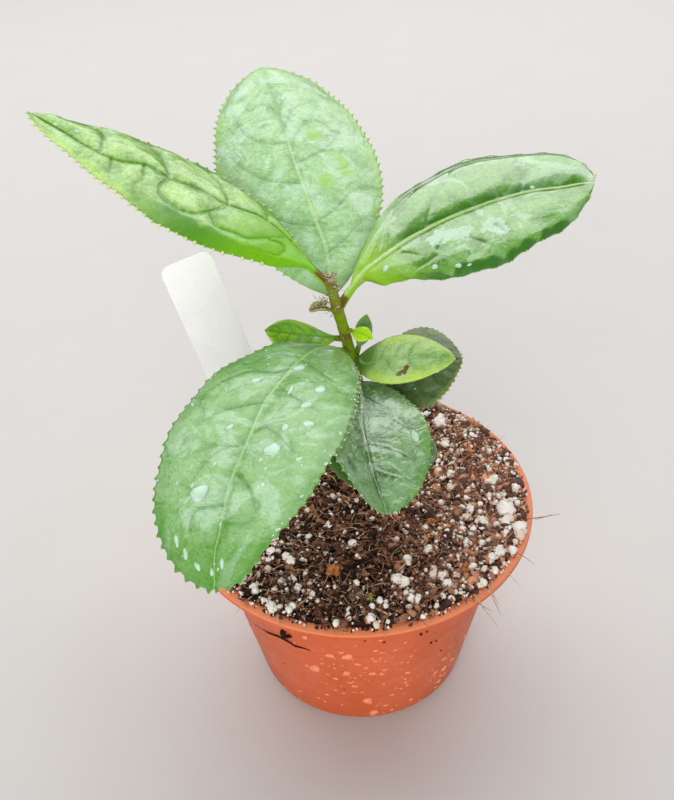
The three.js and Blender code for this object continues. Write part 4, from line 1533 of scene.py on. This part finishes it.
def leaf_relief(leaf, t, v, half):
    """How the blade is lifted by veins, bulges, rolled margins and waves, and what colours it: where the
    veins and bulges are, and how much painted shade darkens the rolled margin and the strip beside the
    midrib."""
    rng = random.Random(leaf.name)
    midrib_line, *side_lines = [smooth_line(line) for line in vein_lines(leaf, rng)]
    x, y = t * leaf.length, v * half
    fineness = min(1, 0.35 + leaf.length / (60 * MM))
    gap, _, rib_side = flat_distance(leaf, midrib_line, x, y)
    from_rib = gap / (1.5 * leaf.vein_width * fineness * (1.2 - 0.8 * t))
    from_rib = from_rib + 3 * smooth(leaf.rib_end - 0.05, leaf.rib_end + 0.1, t)
    rib = np.exp(-(from_rib ** 2))
    beside = np.exp(-((gap / leaf.shade_width) ** 2)) * smooth(0.05, 0.3, t) * (1 - smooth(0.7, 0.95, t))
    bank = 1 - np.exp(-gap / (2.4 * MM))
    nearest = gap.copy()
    from_vein = np.full(t.shape, 4.0)
    for line in side_lines:
        side_gap, place, _ = flat_distance(leaf, line, x, y)
        width = leaf.vein_width * fineness * (1 - 0.6 * place ** 2)
        from_vein = np.minimum(from_vein, side_gap / width)
        nearest = np.minimum(nearest, side_gap + 0.5 * MM * place)
    vein = np.exp(-((from_vein / 1.3) ** 2))
    bulge = np.sqrt(1 - np.exp(-(nearest / (leaf.pillow * fineness)) ** 1.5))
    q = np.abs(v)
    ends = smooth(0, 0.08, t) * (1 - smooth(0.94, 1, t))
    inner = (1 - smooth(0.62, 1, q)) * ends
    lift = (leaf.quilt * (bulge - 0.5) - leaf.groove * vein + leaf.rib * rib) * inner
    lift = lift + leaf.bank * np.where(rib_side > 0, bank, 0) * inner * (0.35 + 0.65 * smooth(0.15, 0.4, t))
    phase = rng.uniform(0, 6)
    waves = np.sin(2 * math.pi * leaf.length / (17 * MM) * t + phase + 1.9 * np.sign(v))
    lift = lift + leaf.wave * waves * q ** 3 * ends
    seed = Vector((rng.uniform(0, 90), 0, 0))
    ripple = np.array([noise.noise(Vector((a, b, 0)) * 260 + seed) for a, b in zip(x, y)])
    lift = lift + 0.16 * MM * ripple * ends * fineness
    start = np.where(v > 0, leaf.left_start, leaf.right_start)
    roll_depth = np.where(v > 0, leaf.left_roll, leaf.right_roll)
    rolling = ends * np.where(v > 0, 1 - smooth(leaf.left_end - 0.4, leaf.left_end, t), 1)
    rolled = np.maximum(q - start - 0.02 * ripple, 0) / (1 - start) * rolling
    lift = lift - roll_depth * rolled ** 1.3
    lift = lift - leaf.tip_curl * smooth(0.88, 1, t) ** 2
    ragged = (q - start - 0.12 * ripple) / (1 - start)
    # How much painted shade darkens the rolled margin, with a ragged edge.
    dark = smooth(0.0, 0.2, ragged) * rolling * (roll_depth > 0)
    shade = beside * np.where(rib_side > 0, leaf.left_shade, leaf.right_shade) * (0.8 + 0.9 * ripple)
    veins = np.stack([np.minimum(from_rib, 4), from_vein, bulge], -1)
    return lift, rib, vein, (veins, dark, np.clip(shade, 0, 1))


def margin_arc(leaf):
    """How far along its margin many shares of the blade lie, and which way the margin faces there."""
    t = 1 - (1 - np.linspace(0, 1, 900)) ** 3
    run = np.gradient(t * leaf.length)
    spread = np.gradient(half_width(leaf, t))
    steps = np.hypot(run, spread)
    arc = np.concatenate([[0], np.cumsum(steps[1:])])
    return t, arc, -spread / steps, run / steps


def tooth_phase(side):
    """The teeth of the two halves don't stand opposite each other."""
    return 0.37 * side


def leaf_teeth(leaf, t, v):
    """How far the margin stands out, along and across, at its teeth."""
    fine, arc, outward_along, outward_across = margin_arc(leaf)
    phase = np.interp(t, fine, arc) / leaf.tooth_pitch + tooth_phase(np.sign(v))
    tooth_number = np.floor(phase)
    uneven = 0.7 + 0.4 * np.mod(tooth_number * 0.618, 1)
    peak = np.maximum(0, 1 - np.abs(phase - tooth_number - 0.5) / 0.27)
    size = leaf.tooth * uneven * peak * smooth(0.93, 1, np.abs(v)) ** 2
    size = size * smooth(0.05, 0.14, t) * (1 - smooth(0.9998, 1, t))
    return (
        size * (np.interp(t, fine, outward_along) + 0.5),
        size * np.interp(t, fine, outward_across) * np.sign(v),
    )


def leaf_surface(leaf, share, v, side):
    """Points of a leaf, t and what colours it: v lies across the leaf, side is 1 above and -1 below."""
    reach = leaf.petiole + leaf.length
    petiole_share = leaf.petiole / reach
    t = np.clip((share - petiole_share) / (1 - petiole_share), 0, 1)
    along, across, up = heading(leaf, share)
    bank = (leaf.roll + leaf.twist * t)[..., None]
    across, up = across * np.cos(bank) + up * np.sin(bank), up * np.cos(bank) - across * np.sin(bank)
    slimness = min(1, 0.45 + leaf.length / (50 * MM))
    stalk = 1 - smooth(0, PETIOLE_BLEND, t)
    narrowest = slimness * PETIOLE_WIDTH * stalk + TIP_WIDTH * (1 - stalk)
    drawn_in = 1 - TOOTH_INSET / np.maximum(half_width(leaf, t), 1 * MM)
    started = np.where(v < 0, smooth(leaf.right_base - 0.05, leaf.right_base, t), 1)
    half = np.maximum(half_width(leaf, t) * drawn_in * started, narrowest / 2)
    out, lift = section(leaf, v)
    on_blade = smooth(0, 0.05, t)
    out = v + (out - v) * on_blade
    relief, rib, vein, colouring = leaf_relief(leaf, t, v, half)
    tooth_along, tooth_across = leaf_teeth(leaf, t, v)
    stalk_depth = slimness * PETIOLE_DEPTH * np.sqrt(np.maximum(1 - 0.96 * v * v, 0))
    blade = SMALL_BLADE_DEPTH if leaf.length < SMALL_LEAF else BLADE_DEPTH
    blade_depth = blade * (1 - 0.6 * np.abs(v) ** 6)
    under_rib = np.where(side < 0, slimness * MM * (0.5 * rib + 0.15 * vein) * (1 - 0.6 * t), 0)
    depth = stalk_depth * stalk + (blade_depth + under_rib) * (1 - stalk)
    height = lift * half * on_blade + relief * (1 - stalk) + side * depth / 2
    points = (
        midrib(leaf, share * (1 - 1.6 * leaf.tooth / reach))
        + across * (out * half + tooth_across)[..., None]
        + along * tooth_along[..., None]
        + up * height[..., None]
    )
    return points, t, colouring


def blade_points(leaf, t, v, side):
    """Points of the blade at t and v."""
    petiole_share = leaf.petiole / (leaf.petiole + leaf.length)
    return leaf_surface(leaf, petiole_share + t * (1 - petiole_share), v, side)[0]


def build_leaf(leaf):
    """One leaf: a slab shaped by the leaf's rule, with the attributes that its finishes read."""
    reach = leaf.petiole + leaf.length
    steps = int(min(270, max(60, reach / STEP_LENGTH)))
    strips = 2 * int(min(58, max(10, leaf.width / STRIP_WIDTH / 2)))
    mesh = mesh_of(leaf.name, leaf_slab(strips, steps))
    along, v, side = read_points(mesh).T
    even = 3 * along / (1 + 2 * TIP_ROWS)
    closing = (1 - along) ** 3 / (1 - TIP_ROWS) ** 2 / (1 + 2 * TIP_ROWS)
    crowded = np.where(along < TIP_ROWS, even, 1 - closing)
    root = PETIOLE_ROOT / (reach * math.cos(leaf.rise))
    share = -root + crowded * (1 + root)
    points, t, (veins, dark, shade) = leaf_surface(leaf, share, v, side)
    write_points(mesh, points)
    mark = MARKS.get(leaf.name)
    marked = np.zeros(len(t))
    if mark:
        x, y = t * leaf.length, v * half_width(leaf, t)
        for line in mark["lines"]:
            gap = flat_distance(leaf, in_shares(line), x, y)[0]
            marked = np.maximum(marked, np.exp(-((gap / (mark["width"] * MM)) ** 2)))
    stalk = 1 - smooth(0.5, 1.1, share * reach / max(leaf.petiole, 1 * MM))
    write_attribute(mesh, "blade", np.stack([t, v, marked], -1))
    write_attribute(mesh, "veins", veins)
    # The margin attribute carries the rolled margin's painted shade, the petiole's foot and the painted shade
    # beside the midrib.
    write_attribute(mesh, "margin", np.stack([dark, stalk, shade], -1))
    finishes = [leaf_top(leaf, mark), leaf_underside(leaf)]
    return piece(leaf.name + "_blade", mesh, finishes, [leaf.name])


def build_tooth_tips():
    """The pale bead at the tip of every tooth, all in one mesh."""
    rng = np.random.default_rng(13)
    template = pebble_template(0.2, 1.3, 1)
    places, sizes = [], []
    for leaf in plant().leaves:
        if leaf.tooth < 0.2 * MM or leaf.name == "dried_bract":
            continue
        fine, arc, _, _ = margin_arc(leaf)
        for side in (-1, 1):
            phases = np.arange(1, int(arc[-1] / leaf.tooth_pitch) + 1) + 0.5 - tooth_phase(side)
            t = np.interp(phases * leaf.tooth_pitch, arc, fine)
            t = t[(t > 0.11) & (t < 0.9998)]
            places.append(blade_points(leaf, t, np.full(len(t), 0.997 * side), np.zeros(len(t))))
            sizes.append(leaf.bead * rng.uniform(0.7, 1.2, len(t)))
    places = np.vstack(places)
    sizes = np.concatenate(sizes)[:, None, None]
    copies = tumbled(rng, template, len(places)) * sizes + places[:, None]
    finish = peat_finish("tooth_tip", srgb(0xE0E8A0), contrast=0.1)
    return joined("tooth_tips", template, copies, [finish])


# Water

def drop_template():
    """A ball of unit radius with few faces, from which the drops are flattened."""
    bm = bmesh.new()
    bmesh.ops.create_uvsphere(bm, u_segments=12, v_segments=4, radius=1)
    bmesh.ops.triangulate(bm, faces=bm.faces)
    return mesh_of("drop", bm)


def frames_on(normals, along):
    """Rotations whose third axis is the surface's normal and whose first leans along a direction."""
    first = along - (along * normals).sum(-1, keepdims=True) * normals
    first = first / np.linalg.norm(first, axis=-1, keepdims=True)
    second = np.cross(normals, first)
    return np.stack([first, second, normals], axis=-1)


def lay_drops(name, finish, places, normals, along, radii, stretch, rng):
    """Flat irregular drops on a surface. Their own coordinates colour them, the first along the surface."""
    template = drop_template()
    corners = read_points(template)
    total = len(places)
    turn = np.arctan2(corners[:, 1], corners[:, 0])[None]
    wobble = 1 + sum(
        strength * np.sin(turn * waves + rng.uniform(0, 6, (total, 1)))
        for strength, waves in ((0.16, 2), (0.1, 3), (0.04, 5))
    )
    shape = np.repeat(corners[None], total, axis=0)
    shape[:, :, 0] *= wobble * stretch[:, None]
    shape[:, :, 1] *= wobble
    shape[:, :, 2] *= plant().water.flatness
    copies = np.einsum("nij,nkj->nki", frames_on(normals, along), shape * radii[:, None, None])
    copies = copies + places[:, None]
    drops = joined(name, template, copies, [finish])
    write_attribute(drops.data, "drop", np.tile(corners, (total, 1)))
    return drops


# Drops that stand out on each leaf: their place in percent, as in the veins, radius in millimetres, stretch
LARGE_DROPS = {
    "leaf_front_large": (
        (28, -1, 1.2, 1.5), (41, 14, 0.5, 3.4), (39, -39, 1.0, 1.2), (47, 45, 1.2, 1.3),
        (39, 52, 1.4, 1.1), (55, 58, 1.2, 1.0), (57, 34, 0.9, 1.1), (65, 32, 1.7, 1.2),
        (58, -30, 0.7, 1.2), (78, -38, 1.7, 1.2), (76, 41, 0.5, 1.2), (8, 6, 0.8, 1.3),
        (90, -70, 0.5, 2.2), (93, -58, 0.5, 2.0), (95.5, -40, 0.5, 1.6), (96.5, -5, 0.45, 1.4),
        (95, 25, 0.5, 1.8),
    ),
    "leaf_upper_right": ((33, -83, 0.5, 1.8), (42, -90, 0.5, 1.6), (17, -52, 0.7, 1.2)),
    "leaf_front_low": ((55, 75, 0.8, 2.0), (40, 55, 0.6, 1.6)),
    "leaf_left_small": ((30, 20, 0.5, 1.3),),
    "leaf_upper_left": ((5, -40, 0.3, 1.5),),
}

# Which share of the strewn drops and of the beads lies on each leaf
DROP_SHARES = {
    "leaf_front_large": 0.42, "leaf_upper_back": 0.16, "leaf_upper_right": 0.1, "leaf_front_low": 0.12,
    "leaf_upper_left": 0.1, "leaf_right_spotted": 0.05, "leaf_right_back": 0.05,
}


def surface_samples(leaf, t, v):
    """Places on the upper side of a blade, their normals and the direction along the leaf."""
    above = np.ones_like(t)
    step = 0.01
    here, ahead, behind, left, right = (
        blade_points(leaf, at_t, at_v, above) for at_t, at_v in (
            (t, v), (np.minimum(t + step, 0.999), v), (t - step, v), (t, np.minimum(v + step, 1)),
            (t, np.maximum(v - step, -1)),
        )
    )
    normals = np.cross(ahead - behind, left - right)
    return here, normals / np.linalg.norm(normals, axis=-1, keepdims=True), ahead - behind


def build_leaf_water():
    """Drops on the leaves: the large ones in their places, small ones strewn, and beads on the margins."""
    water = plant().water
    leaves = {leaf.name: leaf for leaf in plant().leaves}
    wet, weights = tuple(DROP_SHARES), tuple(DROP_SHARES.values())
    rng = np.random.default_rng(71)
    rows = [
        (name, t / 100, v / 100, radius * MM, stretch) for name, drops in LARGE_DROPS.items()
        for t, v, radius, stretch in drops
    ]
    for name in rng.choice(wet, water.leaf_drops, p=weights):
        radius = (0.12 + rng.gamma(1.6, 0.09)) * MM
        rows.append((
            str(name), rng.uniform(0.1, 0.96), rng.uniform(-0.9, 0.9), min(radius, 0.6 * MM),
            rng.uniform(1, 1.5),
        ))
    for name in rng.choice(wet, water.margin_drops, p=weights):
        side = rng.choice((-1, 1))
        rows.append((
            str(name), rng.uniform(0.12, 0.97), side * rng.uniform(0.93, 1.0), rng.uniform(0.15, 0.34) * MM,
            rng.uniform(1, 1.6),
        ))
    places, normals, along = [], [], []
    for name, t, v, radius, stretch in rows:
        here, normal, ahead = surface_samples(leaves[name], np.array([t]), np.array([v]))
        places.append(here[0])
        normals.append(normal[0])
        along.append(ahead[0])
    radii = np.array([row[3] for row in rows])
    stretch = np.array([row[4] for row in rows])
    # The drops' whitish tint is painted sheen, and their paler lower edge a painted highlight.
    finish = water_finish("leaf_water", srgb(0xBCDCC0), 0.1, srgb(0xE8F4EC))
    return lay_drops(
        "leaf_drops", finish, np.array(places), np.array(normals), np.array(along), radii,
        stretch, rng,
    )


# Drops that stand out on the pot: angle from +X in degrees, height and width in millimetres.
POT_DROPS = (
    (-112, 26.8, 3.7), (-97, 36.2, 3.2), (-104, 35.8, 2.4), (-98, 27.1, 2.6), (-95, 20, 1.6),
    (-89, 11.1, 3.2), (-86, 3.6, 2.9), (-87, 26.9, 2.1), (-83, 26.2, 2.1), (-86, 33.6, 1.3),
    (-93, 32.4, 2.1), (-71, 23.3, 1.6), (-70, 15.9, 1.3), (-47, 12.8, 2.4), (-50, 19.8, 1.8),
    (-48, 6.5, 2.1), (-49, 3.8, 1.6), (-80, 7.1, 1.6), (-109, 12.8, 1.6), (-126, 7.4, 0.8),
    (-77, 12.7, 1.3), (-90, 30, 1.3), (-41, 13.5, 1.6), (-113, 42.4, 1.8), (-86, 39, 1.3),
    (-47, 20.4, 1.1), (-75, 26.5, 0.8), (-79, 34.3, 0.6), (-30, 24, 1.5), (10, 18, 1.9), (35, 30, 1.4),
    (70, 14, 2.0), (95, 33, 1.7), (130, 22, 1.5), (165, 12, 1.9), (200, 28, 1.3),
)


def build_pot_water():
    """Drops that cling to the pot's wall."""
    rng = np.random.default_rng(97)
    total = plant().water.pot_drops
    clusters = np.array(POT_DROPS)[rng.integers(0, len(POT_DROPS), total)]
    small = np.column_stack([
        clusters[:, 0] + rng.normal(0, 9, total),
        np.clip(clusters[:, 1] + rng.normal(0, 5, total), 2.5, 44),
        0.2 + rng.gamma(1.3, 0.3, total),
    ])
    rows = np.vstack([POT_DROPS, small])
    turn = np.radians(rows[:, 0])
    height = np.maximum(rows[:, 1], 2.5) * MM
    places = on_wall(turn, height, 0.0)
    slope = (wall_radius(height + MM) - wall_radius(height - MM)) / (2 * MM)
    out = np.stack([np.cos(turn), np.sin(turn), -slope], -1)
    normals = out / np.linalg.norm(out, axis=-1, keepdims=True)
    down = np.tile([0.0, 0.0, -1.0], (len(turn), 1))
    # The drops' tint, paler than the pot, is painted sheen, and their darker lower edge painted shade.
    finish = water_finish("pot_water", srgb(0xEC8A60), 0.0, srgb(0xB85530))
    return lay_drops(
        "pot_drops", finish, places, normals, down, rows[:, 2] / 2 * MM,
        rng.uniform(0.55, 1.15, len(rows)), rng,
    )


# The label

LABEL_PLACE = (-25 * MM, 22 * MM)


def label_outline(label):
    """Corners of the label's face, from the foot's left end round to the right."""
    half = label.width / 2
    foot = label.point_width / 2
    shoulder = label.point_height - label.below
    return [
        (-foot, -label.below), (foot, -label.below), (half, shoulder), (half, label.above),
        (-half, label.above), (-half, shoulder),
    ]


def build_label():
    """The blank label: its outline drawn flat, thickened, rounded and leaned into its place."""
    label = plant().label
    bm = bmesh.new()
    corners = [bm.verts.new((x, y, -label.thickness / 2)) for x, y in label_outline(label)]
    bm.faces.new(corners)
    top = [v for v in corners if v.co.y > label.above - 1 * MM]
    rounded(bm, top, label.corner, 8, "VERTICES")
    grown = bmesh.ops.extrude_face_region(bm, geom=bm.faces[:])
    raised = [g for g in grown["geom"] if isinstance(g, bmesh.types.BMVert)]
    bmesh.ops.translate(bm, verts=raised, vec=(0, 0, label.thickness))
    bmesh.ops.recalc_face_normals(bm, faces=bm.faces)
    rim = [
        e for e in bm.edges if len(e.link_faces) == 2 and e.calc_face_angle() > math.radians(60)
        and abs(e.verts[0].co.z - e.verts[1].co.z) < label.thickness / 2
    ]
    rounded(bm, rim, label.edge_bevel, 2)
    up = Vector((-math.tan(label.lean_left), math.tan(label.lean_back), 1)).normalized()
    right = Vector((math.cos(label.turn), math.sin(label.turn), 0))
    right = (right - up * right.dot(up)).normalized()
    facing = right.cross(up)
    place = Matrix((right, up, facing)).transposed().to_4x4()
    place.translation = (*LABEL_PLACE, plant().mix.level)
    bmesh.ops.transform(bm, matrix=place, verts=bm.verts)
    stick = piece("label_stick", mesh_of("label_stick", bm), [label_plastic(label)], ["plant_label"])
    stick.data.set_sharp_from_angle(angle=math.radians(40))
    return stick


# The stage

# The lights: name, place, size, power in watts, and whether wet surfaces mirror them. They face LIT_POINT.
LIGHTS = (
    ("sky", (0, 0.52, 0.72), (1.7, 1.05), 12, True),
    ("front", (-0.15, -0.9, 0.42), (0.9, 0.5), 7.5, False),
)
LIT_POINT = (0, 0, 80 * MM)


def soft_light(name, place, size, power, mirrored):
    """A rectangular area light."""
    light = bpy.data.lights.new(name, "AREA")
    light.shape = "RECTANGLE"
    light.size, light.size_y = size
    light.energy = power
    obj = bpy.data.objects.new(name, light)
    obj.location = place
    obj.rotation_euler = (Vector(LIT_POINT) - Vector(place)).to_track_quat("-Z", "Y").to_euler()
    obj.visible_glossy = mirrored
    bpy.context.scene.collection.objects.link(obj)


def build_stage():
    """The floor, the soft room, the lights and the photo's camera."""
    stage = plant().stage
    bm = bmesh.new()
    bmesh.ops.create_circle(bm, cap_ends=True, segments=96, radius=stage.floor_radius)
    floor = link("floor", mesh_of("floor", bm), [floor_finish(stage)])

    scene = bpy.context.scene
    world = bpy.data.worlds.new("soft room")
    world.use_nodes = True
    surround = world.node_tree.nodes["Background"]
    surround.inputs["Color"].default_value = (0.95, 0.97, 1, 1)
    surround.inputs["Strength"].default_value = 0.3
    world.cycles_visibility.glossy = False
    scene.world = world
    scene.view_settings.view_transform = "Standard"

    for light in LIGHTS:
        soft_light(*light)

    camera = bpy.data.objects.new("camera", bpy.data.cameras.new("camera"))
    camera.data.sensor_width = 36
    camera.data.lens = stage.focal_pixels * camera.data.sensor_width / PHOTO_LONG_SIDE
    camera.data.clip_start = 0.01
    back = Vector((0, -math.cos(stage.elevation), math.sin(stage.elevation)))
    right = Vector((1, 0, 0))
    up = back.cross(right)
    c, s = math.cos(stage.roll), math.sin(stage.roll)
    axes = Matrix((c * right + s * up, c * up - s * right, back)).transposed().to_4x4()
    axes.translation = Vector(stage.target) + back * stage.distance
    camera.matrix_world = axes
    scene.collection.objects.link(camera)
    scene.camera = camera


# Operators and panel

def finished(objects):
    """What an operator answers once its pieces are made."""
    if not objects:
        raise RuntimeError("nothing was made")
    return {"FINISHED"}


class TEAPLANT_OT_pot(bpy.types.Operator):
    """Turn the plastic pot and drill its drain holes"""
    bl_idname = "teaplant.pot"
    bl_label = "Pot"

    def execute(self, context):
        return finished([build_pot()])


class TEAPLANT_OT_mix(bpy.types.Operator):
    """Fill the pot with potting mix: its bed, crumbs, perlite grains, fibres and stray strands"""
    bl_idname = "teaplant.mix"
    bl_label = "Potting Mix"

    def execute(self, context):
        return finished([
            build_mix_bed(), scatter_crumbs(), *scatter_grains(), scatter_fibres(), lay_bits(),
            drape_strands(), *mark_wall(),
        ])


class TEAPLANT_OT_stem(bpy.types.Operator):
    """Grow the stem, with the dry scales at its bud"""
    bl_idname = "teaplant.stem"
    bl_label = "Stem"

    def execute(self, context):
        return finished([build_stem(), build_dry_scraps()])


class TEAPLANT_OT_leaves(bpy.types.Operator):
    """Grow every leaf of the list"""
    bl_idname = "teaplant.leaves"
    bl_label = "Leaves"

    def execute(self, context):
        return finished([*[build_leaf(leaf) for leaf in plant().leaves], build_tooth_tips()])


class TEAPLANT_OT_water(bpy.types.Operator):
    """Lay drops of water on the leaves and the pot"""
    bl_idname = "teaplant.water"
    bl_label = "Water Drops"

    def execute(self, context):
        return finished([build_leaf_water(), build_pot_water()])


class TEAPLANT_OT_label(bpy.types.Operator):
    """Push the blank label into the mix"""
    bl_idname = "teaplant.label"
    bl_label = "Label"

    def execute(self, context):
        return finished([build_label()])


class TEAPLANT_OT_stage(bpy.types.Operator):
    """Set up the floor, the soft lights and the camera"""
    bl_idname = "teaplant.stage"
    bl_label = "Stage"

    def execute(self, context):
        build_stage()
        return {"FINISHED"}


OPERATORS = (
    TEAPLANT_OT_pot, TEAPLANT_OT_mix, TEAPLANT_OT_stem, TEAPLANT_OT_leaves, TEAPLANT_OT_water,
    TEAPLANT_OT_label, TEAPLANT_OT_stage,
)


class TEAPLANT_PT_sidebar(bpy.types.Panel):
    """The buttons and settings of the plant"""
    bl_idname = "TEAPLANT_PT_sidebar"
    bl_label = "Tea Plant"
    bl_space_type = "VIEW_3D"
    bl_region_type = "UI"
    bl_category = "Tea Plant"

    def draw(self, context):
        settings = context.scene.tea_plant
        for operator in OPERATORS:
            self.layout.operator(operator.bl_idname)
        for name in ("pot", "mix", "stem", "label", "water", "stage"):
            group = getattr(settings, name)
            box = self.layout.box()
            box.label(text=name.title())
            for key in group.__annotations__:
                box.prop(group, key)
        for leaf in settings.leaves:
            box = self.layout.box()
            box.label(text=leaf.name)
            for key in leaf.__annotations__:
                box.prop(leaf, key)


CLASSES = (
    PotSettings, MixSettings, StemSettings, LabelSettings, LeafSettings, WaterSettings, StageSettings,
    TeaPlantSettings, *OPERATORS, TEAPLANT_PT_sidebar,
)


def register():
    """Makes the settings, operators and panel known to Blender."""
    for cls in CLASSES:
        bpy.utils.register_class(cls)
    bpy.types.Scene.tea_plant = PointerProperty(type=TeaPlantSettings)


def unregister():
    """Takes them away again."""
    del bpy.types.Scene.tea_plant
    for cls in reversed(CLASSES):
        bpy.utils.unregister_class(cls)


def main():
    """Builds the plant and its stage."""
    register()
    lay_out_leaves()
    for operator in OPERATORS:
        category, name = operator.bl_idname.split(".")
        getattr(getattr(bpy.ops, category), name)()


if __name__ == "__main__":
    main()
